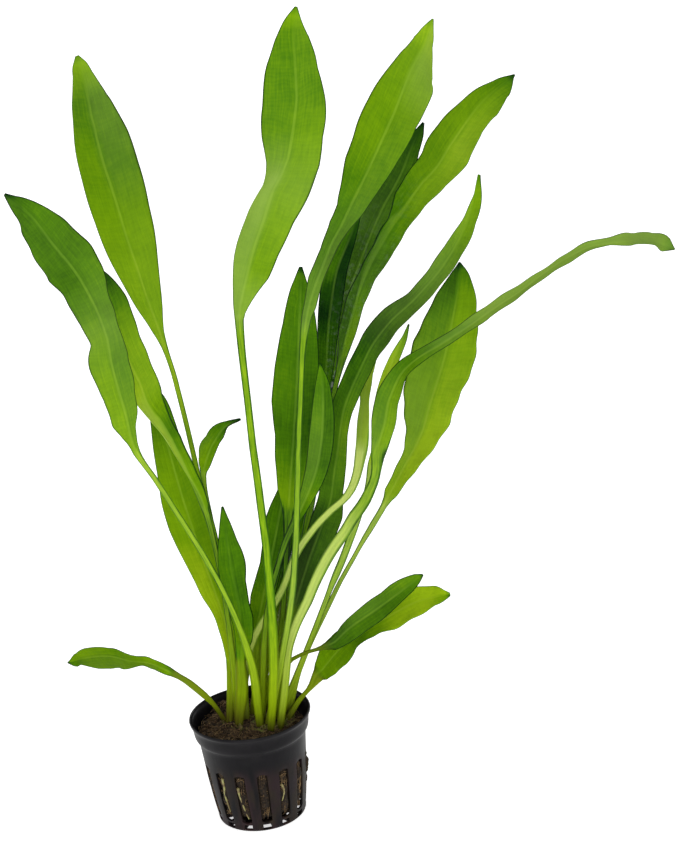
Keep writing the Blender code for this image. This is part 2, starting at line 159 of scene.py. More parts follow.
class Paint:
    """One material: its node tree, its Principled shader, and the ways to add nodes to it."""

    def __init__(self, name, roughness=0.5, specular=0.4):
        self.material = bpy.data.materials.new(name)
        self.material.use_nodes = True
        self.tree = self.material.node_tree
        self.shader = self.tree.nodes["Principled BSDF"]
        self.shader.inputs["Roughness"].default_value = roughness
        self.shader.inputs["Specular IOR Level"].default_value = specular
        self.object_place = self.node("ShaderNodeTexCoord", {}, {}, "Object")

    def node(self, kind, settings, values, out=0):
        """Adds a node: its type, its settings first, then the values or links of its sockets."""
        made = self.tree.nodes.new(kind)
        for name, value in settings.items():
            if name == "stops":
                self.set_stops(made.color_ramp, value)
            else:
                setattr(made, name, value)
        for name, value in values.items():
            if isinstance(value, Sock):
                self.tree.links.new(value.socket, made.inputs[name])
            else:
                made.inputs[name].default_value = value
        return Sock(self, made.outputs[out])

    def set_stops(self, color_ramp, stops):
        """Gives a colour ramp its stops: places from 0 to 1, each with a colour."""
        while len(color_ramp.elements) < len(stops):
            color_ramp.elements.new(1.0)
        for element, (place, colour) in zip(color_ramp.elements, stops):
            element.position = place
            element.color = (*colour, 1.0)

    def blend(self, share, first, second):
        """A colour between two colours or colour sockets, by a share from 0 to 1."""
        colours = [c if isinstance(c, Sock) else (*c, 1.0) for c in (first, second)]
        return self.node("ShaderNodeMix", {"data_type": "RGBA"}, {0: share, 6: colours[0], 7: colours[1]}, 2)

    def attribute(self, name):
        """A number that the mesh holds at each of its points."""
        return self.node("ShaderNodeAttribute", {"attribute_name": name}, {}, "Fac")

    def noise(self, scale, detail=3.0, place=None, stretch=None):
        """Noise from 0 to 1 around 0.5; scale is in turns per metre, and stretch scales each direction."""
        where = place or self.object_place
        if stretch:
            where = self.node("ShaderNodeMapping", {}, {"Vector": where, "Scale": stretch})
        return self.node("ShaderNodeTexNoise", {}, {"Vector": where, "Scale": scale, "Detail": detail})

    def feed(self, **sockets):
        """Links results to the shader's sockets; an underscore in a name stands for a space."""
        for name, value in sockets.items():
            self.tree.links.new(value.socket, self.shader.inputs[name.replace("_", " ")])

    def bump(self, height_mm, strength=1.0):
        """Feeds a height in millimetres to the shader's normal."""
        made = self.node("ShaderNodeBump", {}, {"Strength": strength, "Distance": MM, "Height": height_mm})
        self.feed(Normal=made)


print("shader helpers ready")

# %% [markdown]
# ## From grids of points to meshes
#
# Every new piece here is a grid: rows of points along one parameter, and columns along the other. The faces
# of a grid follow from its size alone, so one helper serves for the pot, the soil and all leaves. Numbers
# that the finish needs, such as how far a point is from the midrib, are kept at each point as attributes.

# %% Turn a grid into a mesh object
LUMP_WAVES = 14
LUMP_REACH = 4.5


def grid_faces(rows, columns, closed):
    """Corner numbers of a grid's squares, turned so that columns x rows points outwards.

    A square joins a column to the next one and a row to the next one; on a closed grid the last column is
    joined to the first.
    """
    row = np.arange(rows - 1)[:, None] * columns
    column = np.arange(columns if closed else columns - 1)[None, :]
    beside = (column + 1) % columns
    corners = [row + column, row + beside, row + columns + beside, row + columns + column]
    return np.stack(np.broadcast_arrays(*corners), axis=-1)


def capped_faces(rows, columns, inward=False, count=1):
    """Faces of closed grids of the same size, one after the other: all squares, then the caps at both ends.

    inward turns every face round, for a grid whose columns x rows points inwards.
    """
    turn = -1 if inward else 1
    ring = np.arange(columns)
    squares = grid_faces(rows, columns, closed=True).reshape(-1, 4)[:, ::turn]
    first = ring[None, ::-turn]
    last = (ring + (rows - 1) * columns)[None, ::turn]
    start = np.arange(count)[:, None, None] * (rows * columns)
    faces = []
    for part in (squares, first, last):
        faces += (part + start).reshape(-1, part.shape[-1]).tolist()
    return faces


def around(radius, turn, height):
    """Places at a radius from the z axis, a turn from +X and a height."""
    return np.stack(np.broadcast_arrays(radius * np.cos(turn), radius * np.sin(turn), height), axis=-1)


def new_piece(name, places, faces, paint, attributes=None):
    """A mesh object of points (n, 3) and faces, with its finish and its numbers at each point."""
    mesh = bpy.data.meshes.new(name)
    mesh.from_pydata(places.reshape(-1, 3), [], [list(map(int, face)) for face in faces])
    for key, values in (attributes or {}).items():
        layer = mesh.attributes.new(key, "FLOAT", "POINT")
        layer.data.foreach_set("value", np.asarray(values, np.float32).ravel())
    mesh.shade_smooth()
    mesh.materials.append(paint.material)
    piece = bpy.data.objects.new(name, mesh)
    bpy.context.scene.collection.objects.link(piece)
    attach(piece, "root")
    return piece


def stand_for(piece, slot, *nodes):
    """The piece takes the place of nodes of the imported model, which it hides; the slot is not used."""
    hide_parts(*nodes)
    print(piece.name, "has", len(piece.data.polygons), "faces")


def lumps(places, size, seed):
    """Smooth lumps of about a size, mostly from -1 to 1: a sum of cosines in scattered directions."""
    draw = np.random.default_rng(seed)
    directions = draw.normal(size=(LUMP_WAVES, 3))
    directions /= np.linalg.norm(directions, axis=1)[:, None]
    waves = directions * (2 * math.pi / (size * draw.uniform(0.7, 1.5, LUMP_WAVES)))[:, None]
    return np.cos(places @ waves.T + draw.uniform(0, 2 * math.pi, LUMP_WAVES)).sum(-1) / LUMP_REACH


def unit(vectors):
    """Vectors of length one."""
    return vectors / np.maximum(np.linalg.norm(vectors, axis=-1, keepdims=True), 1e-12)


print("grid helpers ready")

# %% [markdown]
# ## The pot's wall
#
# A small moulded pot: a floor, a wall that widens upwards in a gentle curve, and a wider collar under the
# rim. Fourteen tall slots let the roots out, and under each slot the foot has a small opening. It could be
# cut with Booleans, but they leave long thin faces. Here the outer skin is one grid whose columns run along
# the slots' sides, the faces inside the openings are left out, and Solidify gives the wall its thickness.

# %% Shape the pot
POT_PROFILE = np.array([
    (47.6, 25.5), (48.0, 25.8), (47.9, 26.2), (47.4, 26.35), (46.8, 26.2), (46.2, 25.8), (45.7, 25.5),
    (44.4, 25.3), (43.0, 25.1), (41.8, 24.95), (40.6, 24.75), (39.9, 24.5), (39.4, 24.1), (38.9, 23.6),
    (38.4, 23.3), (37.4, 23.12), (36.0, 23.0), (34.0, 22.8), (32.0, 22.62), (30.2, 22.45), (28.5, 22.3),
    (26.6, 22.15), (24.0, 21.95), (21.0, 21.7), (18.0, 21.35), (15.0, 21.0), (12.0, 20.65), (9.0, 20.25),
    (6.5, 19.9), (4.9, 19.64), (4.0, 19.5), (3.2, 19.35), (2.4, 19.25), (1.6, 19.2), (0.8, 19.1), (0.3, 18.9),
    (0.05, 18.6),
])
FOOT_RINGS = (17.7, 16.2, 14.8, 13.2, 12.0, 8.0, 4.0, 0.8)
SLOTS = 14
SLOT_TURN = math.radians(7)
SLOT_HALF_WIDTH = 2.3
SLOT_TOP = 28.5
SLOT_BOTTOM = 4.0
SLOT_ROUNDING = 0.9
SLOT_MIDDLE_SHARE = 0.19
WIDEST_SLOT_SHARE = 0.3
RIB_COLUMNS = 7
NOTCH_SHARE = 0.85
NOTCH_TOP = 3.2
NOTCH_BOTTOM = 0.8
NOTCH_OUTER_RADIUS = 17.7
NOTCH_INNER_RADIUS = 12.0
WALL = 0.9
POT_EDGE_ROUNDING = 0.22


def wall_radius(height):
    """The outer radius of the wall at heights in millimetres, below the rim's rounding."""
    return np.interp(height, POT_PROFILE[:4:-1, 0], POT_PROFILE[:4:-1, 1])


def slot_turn(index):
    """The direction of a slot, as a turn from +X; slot 0 is the one nearest the front."""
    return -math.pi / 2 + SLOT_TURN + index * 2 * math.pi / SLOTS


def pot_skin():
    """The pot's outer skin as rows from the rim to the middle of the foot, and the faces that stay.

    Angle = slot's turn + column's share of the slot's half width / radius; radius = profile of the height.
    """
    in_slot = np.array([-1, -NOTCH_SHARE, -SLOT_MIDDLE_SHARE, SLOT_MIDDLE_SHARE, NOTCH_SHARE, 1])
    on_rib = np.linspace(0, 1, RIB_COLUMNS + 2)[1:-1]
    per_sector = len(in_slot) + len(on_rib)
    heights = np.concatenate([POT_PROFILE[:, 0], np.zeros(len(FOOT_RINGS))])
    radii = np.concatenate([POT_PROFILE[:, 1], FOOT_RINGS])
    sector = 2 * math.pi / SLOTS
    slot_half = np.minimum(SLOT_HALF_WIDTH / radii, WIDEST_SLOT_SHARE * sector)[:, None]
    in_angles = in_slot[None, :] * slot_half
    rib_angles = slot_half + on_rib[None, :] * (sector - 2 * slot_half)
    angles = np.concatenate([in_angles, rib_angles], axis=1)
    angles = np.concatenate([angles + slot_turn(k) for k in range(SLOTS)], axis=1)
    rows, columns = angles.shape
    z = np.repeat(heights[:, None], columns, axis=1)
    corner = np.tile(np.concatenate([SLOT_ROUNDING * in_slot**2, np.zeros(RIB_COLUMNS)]), SLOTS)
    z[heights == SLOT_TOP] -= corner
    z[heights == SLOT_BOTTOM] += corner
    r = np.repeat(radii[:, None], columns, axis=1)
    moved = np.isin(heights, (SLOT_TOP, SLOT_BOTTOM))
    r[moved] = wall_radius(z[moved])
    places = around(r, angles, z) * MM
    faces = grid_faces(rows, columns, closed=True)
    row, column = np.meshgrid(np.arange(rows - 1), np.arange(columns) % per_sector, indexing="ij")
    slot_columns = len(in_slot) - 1
    slotted = (column < slot_columns) & (heights[:-1][row] <= SLOT_TOP) & (heights[1:][row] >= SLOT_BOTTOM)
    in_wall = (heights[:-1][row] <= NOTCH_TOP) & (heights[1:][row] >= NOTCH_BOTTOM)
    in_foot = (radii[:-1][row] <= NOTCH_OUTER_RADIUS) & (radii[1:][row] >= NOTCH_INNER_RADIUS)
    notched = (column >= 1) & (column < slot_columns - 1) & (in_wall | in_foot & (heights[:-1][row] == 0))
    faces = faces[~(slotted | notched)][:, ::-1]
    middle = np.arange(columns) + (rows - 1) * columns
    return places, [*faces.tolist(), middle[::-1].tolist()]


def finish_pot():
    """Black moulded plastic: soft sheen, fine grain, lighter grey up towards the collar and brown smears beside
    the slots.
    """
    paint = Paint("pot_plastic", roughness=0.4, specular=0.1)
    x, y, z = (paint.node("ShaderNodeSeparateXYZ", {}, {"Vector": paint.object_place}, i) for i in range(3))
    height = z / MM
    cloudy = paint.noise(90, 4)
    fine = paint.noise(900, 3)
    streaks = paint.noise(260, 4, stretch=(1, 1, 0.12))
    turn = y.math("ARCTAN2", x) + (math.pi / 2 - SLOT_TURN + 2 * math.pi)
    beside = ((turn * SLOTS / (2 * math.pi)).math("FRACT") - 0.5).absolute().ramp(0.12, 0.5)
    low = height.ramp(33, 24)
    soiled = (low * (beside * 0.6 + 0.4) * streaks.ramp(0.3, 0.62)).math("MINIMUM", 1)
    # Lighter grey in cloudy patches, more of it higher up towards the collar, and fine specks all over.
    greying = cloudy.ramp(0.4, 0.75) * height.ramp(24, 44) * 0.3 + fine.ramp(0.6, 0.75) * 0.08
    plastic = paint.blend(streaks, (0.002, 0.002, 0.0025), (0.006, 0.005, 0.0065))
    greyed = paint.blend(greying, plastic, (0.024, 0.022, 0.024))
    stain = paint.blend(cloudy.ramp(0.4, 0.6), (0.040, 0.019, 0.020), (0.038, 0.025, 0.013))
    paint.feed(Base_Color=paint.blend(soiled * 0.85, greyed, stain))
    paint.feed(Roughness=0.3 + cloudy * 0.2 + soiled * 0.3 + greying * 0.25)
    paint.bump(fine * 0.03 + cloudy * 0.12 + streaks * 0.05)
    return paint


def make_pot():
    """The pot: its skin, thickened inwards, with its moulded edges rounded."""
    places, faces = pot_skin()
    pot = new_piece("pot_shell", places, faces, finish_pot())
    wall = pot.modifiers.new("wall", "SOLIDIFY")
    wall.thickness = WALL * MM
    wall.offset = -1.0
    wall.use_even_offset = True
    edges = pot.modifiers.new("edges", "BEVEL")
    edges.width = POT_EDGE_ROUNDING * MM
    edges.segments = 2
    edges.limit_method = "ANGLE"
    edges.angle_limit = math.radians(40)
    stand_for(pot, "pot_plastic", "pot")


make_pot()

# %% [markdown]
# ## The plug of soil
#
# Damp coir and peat: dark brown, crumbly on top, and pushed into each slot by the roots inside, with a bulge
# that stands out of one slot at the right. The solid is a grid again, a turned outline from the middle of the
# top, over the shoulder and down to the foot. Lumps move each point along the outline's normal, and swellings
# fill the slots. The top has a heap at the back left. Crumbs and fibres lie on it as separate small shapes.

# %% Shape the soil
SOIL_OUTLINE = np.array([
    (0.6, 42.6), (3.0, 42.6), (6.0, 42.5), (9.0, 42.5), (12.0, 42.4), (15.0, 42.2), (18.0, 42.0),
    (20.5, 41.8), (22.3, 41.3), (23.0, 40.2), (22.2, 38.0), (21.5, 36.0), (21.2, 33.0), (21.0, 30.0),
    (20.9, 27.5), (20.7, 25.0), (20.6, 22.5), (20.4, 20.0), (20.15, 17.5), (19.9, 15.0), (19.6, 12.5),
    (19.2, 10.0), (18.7, 7.8), (18.0, 6.2), (16.8, 5.2), (14.5, 4.8), (11.0, 4.8), (5.0, 4.8), (0.6, 4.8),
])
SOIL_TOP = 42.5
SOIL_COLUMNS = 280
SOIL_ROWS = 150
SOIL_TOP_FROM = 40.5
SIDE_BELOW = 41.0
SIDE_FROM_RADIUS = 17.0
SIDE_CALM = 0.75
SIDE_SET_BACK = 0.35
IN_SLOT_HALF_WIDTH = 2.4
IN_SLOT_FROM = 6.0
IN_SLOT_TO = 29.0
IN_SLOT_PUSH = 0.9
HEAP_PLACE = np.array([-12.0, 16.5])
HEAP_HEIGHT = 3.2
HEAP_WIDTH = 4.2
FALL_FROM = -2.0
FALL_RUN = 9.0
BULGE_TURN = math.radians(-10)
BULGE_HALF_TURN = 0.16
BULGE_HEIGHT = 23.0
BULGE_HALF_HEIGHT = 5.0
BULGE_PUSH = 1.9


def soil_rise(x, y):
    """How far the soil's top stands above its level: a heap at the back left, less a fall to the right."""
    from_heap = ((x - HEAP_PLACE[0]) / HEAP_WIDTH) ** 2 + ((y - HEAP_PLACE[1]) / HEAP_WIDTH) ** 2
    return HEAP_HEIGHT * np.exp(-from_heap) - np.clip(x - FALL_FROM, 0, None) / FALL_RUN


def outline_at(outline, shares):
    """Places and outward normals along an outline of radius and height, at shares of its length."""
    length = np.concatenate([[0], np.cumsum(np.linalg.norm(np.diff(outline, axis=0), axis=1))])
    places = np.stack([np.interp(shares * length[-1], length, outline[:, i]) for i in (0, 1)], axis=-1)
    ahead = unit(np.gradient(places, axis=0))
    return places, np.stack([-ahead[:, 1], ahead[:, 0]], axis=-1)


def soil_surface():
    """The soil's skin: outline + normal * (lumps + swelling in the slots) + the rise of its top.

    Beside the wall the lumps are calmer and the skin stands back a little, except in the slots.
    """
    places, normals = outline_at(SOIL_OUTLINE, np.linspace(0, 1, SOIL_ROWS))
    angle = np.linspace(0, 2 * math.pi, SOIL_COLUMNS, endpoint=False)[None, :]
    radius, height = places[:, :1], places[:, 1:]
    flat = around(radius, angle, height)
    push = 0.45 * lumps(flat, 9.0, 1) + 0.32 * lumps(flat, 4.0, 2) + 0.2 * lumps(flat, 1.7, 3)
    sector = 2 * math.pi / SLOTS
    off_slot = (angle - slot_turn(0) + sector / 2) % sector - sector / 2
    across_slot = np.clip(1 - np.abs(off_slot * radius / IN_SLOT_HALF_WIDTH) ** 2.5, 0, 1)
    up_slot = np.clip((height - IN_SLOT_FROM) / 2, 0, 1) * np.clip((IN_SLOT_TO - height) / 2, 0, 1)
    in_slot = across_slot * up_slot
    on_side = np.clip((SIDE_BELOW - height) / 2, 0, 1) * np.clip((radius - SIDE_FROM_RADIUS) / 2, 0, 1)
    push = push * (1 - SIDE_CALM * on_side * (1 - in_slot)) - SIDE_SET_BACK * on_side
    push = push + in_slot * (IN_SLOT_PUSH + 0.45 * lumps(flat, 7.0, 4))
    toward = (angle - BULGE_TURN + math.pi) % (2 * math.pi) - math.pi
    from_bulge = (toward / BULGE_HALF_TURN) ** 2 + ((height - BULGE_HEIGHT) / BULGE_HALF_HEIGHT) ** 2
    push = push + in_slot * BULGE_PUSH * np.exp(-from_bulge)
    r = radius + push * normals[:, :1]
    z = height + push * normals[:, 1:]
    skin = around(r, angle, z)
    on_top = np.clip(height - SOIL_TOP_FROM, 0, 1)
    rise = soil_rise(skin[..., 0], skin[..., 1])
    skin[..., 2] += on_top * (rise + 0.5 * lumps(flat, 5.0, 6) + 0.3 * lumps(flat, 2.2, 7))
    return skin * MM


def finish_soil():
    """Damp peat and coir: dark brown with fine tan streaks, and painted shade that turns it near black below
    its top, inside the pot's wall and in the slots.
    """
    paint = Paint("soil", roughness=0.9, specular=0.25)
    clods = paint.noise(260, 4)
    grains = paint.noise(1100, 4)
    streaks = paint.noise(420, 3, stretch=(1, 1, 3.2))
    dark = paint.blend(clods.ramp(0.35, 0.65), (0.012, 0.007, 0.004), (0.05, 0.028, 0.013))
    brown = paint.blend(grains.ramp(0.5, 0.72), dark, (0.13, 0.075, 0.034))
    tan = paint.blend(streaks.ramp(0.6, 0.72) * 0.55, brown, (0.26, 0.17, 0.08))
    # Painted shade: below the top, inside the wall, the soil is darkened nearly to black.
    inside = (paint.node("ShaderNodeSeparateXYZ", {}, {"Vector": paint.object_place}, 2) / MM).ramp(39, 31)
    paint.feed(Base_Color=paint.blend(inside * 0.75, tan, (0.006, 0.004, 0.002)))
    paint.feed(Roughness=0.72 + grains * 0.3)
    paint.bump(clods * 0.5 + grains * 0.35 + streaks * 0.15)
    return paint


soil_paint = finish_soil()
soil = new_piece("soil", soil_surface(), capped_faces(SOIL_ROWS, SOIL_COLUMNS, inward=True), soil_paint)
stand_for(soil, "soil", "soil_plug")

# %% [markdown]
# ## Fibres, crumbs and roots
#
# Fine strands make the soil read as coir: short curved hairs scattered on the top, and brown ones that lie
# across the slots, mostly level, where the roots have wound round inside the pot. There are hundreds, so each
# is a three-sided tube of a few faces. All strands of a kind are worked out at once, as one array, and share
# a mesh.

# %% Make strands and crumbs
FIBRE_REACH = 22.5
FIBRE_LIMIT = 22.6
CRUMB_REACH = 22.0
FIBRE_HEIGHTS = (6.5, 27.5)
FIBRE_LIMITS = (5.5, 28.2)
STEEP_SHARE = 0.3


def strand_mesh(paths, radii, sides):
    """Thin tubes along paths (count, steps, 3): each ring lies across the path, and both ends are closed.

    A ring's corner = path + radius * (cos(turn) * across + sin(turn) * other), where across is nearly level.
    """
    count, steps, _ = paths.shape
    ahead = unit(np.gradient(paths, axis=1))
    across = unit(np.cross(ahead, np.array([0.13, 0.09, 1.0])))
    other = np.cross(ahead, across)
    turn = np.linspace(0, 2 * math.pi, sides, endpoint=False)[None, None, :, None]
    ring = np.cos(turn) * across[:, :, None] + np.sin(turn) * other[:, :, None]
    skin = paths[:, :, None] + ring * radii[..., None, None]
    return skin, capped_faces(steps, sides, count=count)


def top_fibres(count, seed):
    """Paths of short fibres on the soil's top: a start, a heading, a bend, and a rise in the middle."""
    draw = np.random.default_rng(seed)
    radius = FIBRE_REACH * np.sqrt(draw.uniform(0.02, 1, count))
    angle = draw.uniform(0, 2 * math.pi, count)
    start = around(radius, angle, 0)
    heading = draw.uniform(0, 2 * math.pi, count)
    bend = draw.uniform(-1.6, 1.6, count)
    t = np.linspace(0, 1, 6)
    direction = heading[:, None] + bend[:, None] * t
    step = draw.uniform(2.5, 8.0, count)[:, None] / (len(t) - 1)
    x = start[:, :1] + np.cumsum(np.cos(direction) * step, axis=1)
    y = start[:, 1:2] + np.cumsum(np.sin(direction) * step, axis=1)
    inside = np.minimum(1, FIBRE_LIMIT / np.maximum(np.hypot(x, y), 1e-6))
    x, y = x * inside, y * inside
    lie = draw.uniform(-0.2, 0.9, count)[:, None]
    z = SOIL_TOP + soil_rise(x, y) + lie + 0.9 * np.sin(math.pi * t) * draw.uniform(0, 1, (count, 1))
    thick = draw.uniform(0.06, 0.17, count)[:, None] * (1 - 0.5 * t)
    return np.stack([x, y, z], axis=-1) * MM, thick * MM


def slot_fibres(per_slot, seed):
    """Paths of fibres that lie across every slot, in the wall's thickness, a few of them steep."""
    draw = np.random.default_rng(seed)
    count = per_slot * SLOTS
    t = np.linspace(-1, 1, 6)
    centre = np.repeat([slot_turn(k) for k in range(SLOTS)], per_slot)[:, None]
    height = draw.uniform(*FIBRE_HEIGHTS, count)[:, None]
    steep = (draw.uniform(0, 1, count) < STEEP_SHARE)[:, None]
    slope = np.where(steep, draw.uniform(2.5, 6.0, (count, 1)), draw.uniform(-0.9, 0.9, (count, 1)))
    side = np.where(steep, draw.uniform(-1.2, 1.2, (count, 1)) + 0.5 * t, 1.75 * t)
    z = np.clip(height + slope * t + 0.5 * np.sin(3 * t + height), *FIBRE_LIMITS)
    radius = wall_radius(z) - draw.uniform(0.25, 0.7, count)[:, None] - 0.25 * t**2
    turn = centre + side / radius
    thick = draw.uniform(0.07, 0.2, count)[:, None] * (1 - 0.3 * t**2)
    return around(radius, turn, z) * MM, thick * MM


def crumbs(count, seed):
    """Small rough crumbs on the soil's top: balls of few faces, each stretched and dented in its own way."""
    draw = np.random.default_rng(seed)
    rows, columns = 5, 7
    polar = np.linspace(0.12, math.pi - 0.12, rows)[:, None]
    round_angle = np.linspace(0, 2 * math.pi, columns, endpoint=False)[None, :]
    ball = around(np.sin(polar), round_angle, np.cos(polar)).reshape(-1, 3)
    radius = CRUMB_REACH * np.sqrt(draw.uniform(0.01, 1, count))
    angle = draw.uniform(0, 2 * math.pi, count)
    x, y = radius * np.cos(angle), radius * np.sin(angle)
    middle = np.stack([x, y, SOIL_TOP + soil_rise(x, y) + draw.uniform(-0.2, 0.7, count)], axis=-1)
    size = draw.uniform(0.35, 1.15, count)[:, None, None] * draw.uniform(0.6, 1.2, (count, 1, 3))
    dents = draw.uniform(0.75, 1.2, (count, len(ball), 1))
    skin = middle[:, None] + ball[None] * size * dents
    return skin * MM, capped_faces(rows, columns, inward=True, count=count)


def finish_fibre():
    """A dry plant fibre: its colour drifts between two browns from one strand to the next."""
    paint = Paint("soil_fibre", roughness=0.75, specular=0.3)
    drift = paint.noise(350, 2)
    grain = paint.noise(2500, 2)
    paint.feed(Base_Color=paint.blend(drift.ramp(0.38, 0.62), (0.035, 0.020, 0.009), (0.20, 0.125, 0.055)))
    paint.feed(Roughness=0.6 + grain * 0.3)
    paint.bump(grain * 0.05)
    return paint


fibre_paint = finish_fibre()
for name, (paths, radii) in {
    "top_fibres": top_fibres(520, 11),
    "slot_fibres": slot_fibres(26, 12),
}.items():
    fibres = new_piece(name, *strand_mesh(paths, radii, 3), fibre_paint)
    print(name, "has", len(fibres.data.polygons), "faces")
crumb_piece = new_piece("soil_crumbs", *crumbs(360, 13), soil_paint)

# %% [markdown]
# The three living roots that show in the front slots are thicker and paler. Each is a slot's number and a
# few places in that slot, as millimetres to the right of its middle and a height. A smooth curve joins the
# places, and the root thins along it.

# %% Make the roots
ROOTS = {
    "root_left": (-2, [(0.9, 26.0), (1.0, 21.5), (0.2, 18.0), (0.6, 13.5), (1.1, 9.0)]),
    "root_middle": (-1, [(-1.5, 22.5), (-1.4, 19.0), (-0.9, 16.5), (-0.6, 13.5), (0.2, 9.5), (0.9, 6.5)]),
    "root_right": (1, [(-1.6, 21.5), (-0.6, 19.5), (-0.3, 17.0), (-0.9, 14.5), (-1.5, 13.0)]),
}
ROOT_RADIUS = 0.55
ROOT_STEPS = 46
ROOT_SIDES = 12


def smooth_line(stations, shares):
    """Places on a smooth curve through the stations, at shares of its length from 0 to 1.

    Between two stations the curve is a cubic whose slope at each station is that of the chord between its
    neighbours.
    """
    steps = np.linalg.norm(np.diff(stations[:, :3], axis=0), axis=1)
    along = np.concatenate([[0.0], np.cumsum(steps)])
    slope = np.empty_like(stations)
    slope[1:-1] = (stations[2:] - stations[:-2]) / (along[2:] - along[:-2])[:, None]
    slope[0] = (stations[1] - stations[0]) / steps[0]
    slope[-1] = (stations[-1] - stations[-2]) / steps[-1]
    here = shares * along[-1]
    index = np.clip(np.searchsorted(along, here, side="right") - 1, 0, len(steps) - 1)
    length = steps[index][:, None]
    t = ((here - along[index]) / steps[index])[:, None]
    start = (2 * t**3 - 3 * t**2 + 1) * stations[index]
    start_slope = (t**3 - 2 * t**2 + t) * length * slope[index]
    end = (3 * t**2 - 2 * t**3) * stations[index + 1]
    end_slope = (t**3 - t**2) * length * slope[index + 1]
    return start + start_slope + end + end_slope


def finish_root():
    """A living root: pale yellow-green, browner where the soil has stained it."""
    paint = Paint("root", roughness=0.55, specular=0.4)
    stain = paint.noise(500, 3)
    grain = paint.noise(2200, 2)
    paint.feed(Base_Color=paint.blend(stain.ramp(0.4, 0.62), (0.27, 0.26, 0.09), (0.15, 0.11, 0.04)))
    paint.feed(Roughness=0.45 + grain * 0.25)
    paint.bump(grain * 0.08 + stain * 0.1)
    return paint


def make_root(name, slot, stations, paint):
    """A root: a round tube through its places, in the wall's thickness, that thins and knots on its way."""
    side, height = np.array(stations).T
    radius = wall_radius(height) - WALL / 2
    turn = slot_turn(slot) + side / radius
    line = around(radius, turn, height)
    shares = np.linspace(0, 1, ROOT_STEPS)
    path = smooth_line(line, shares)
    thick = ROOT_RADIUS * (1 - 0.55 * shares) * (1 + 0.12 * np.sin(23 * shares) + 0.07 * np.sin(51 * shares))
    root = new_piece(name + "_strand", *strand_mesh(path[None] * MM, thick[None] * MM, ROOT_SIDES), paint)
    stand_for(root, "root", name)


root_paint = finish_root()
for name, (slot, stations) in ROOTS.items():
    make_root(name, slot, stations, root_paint)

# %% [markdown]
# ## The leaves
#
# A leaf of this plant is a stiff ridged stalk, green and a little see-through, that widens into a
# lance-shaped blade. A pale midrib runs down the middle, raised on the back, with a few side veins that
# follow the outline from base to tip and fine cross veins between them. The blade is not flat: its halves
# lift from the midrib, its edges ruffle, and it buckles softly between the veins.
#
# Each leaf is a line through a few stations, read from the picture in millimetres: right, back, up, and half
# the width there. The stalk's stations come first, then the blade's, after the turn of the blade about its
# line in degrees at its base and at its tip. These are the model's own stations, so each leaf lies where its
# solid lies.

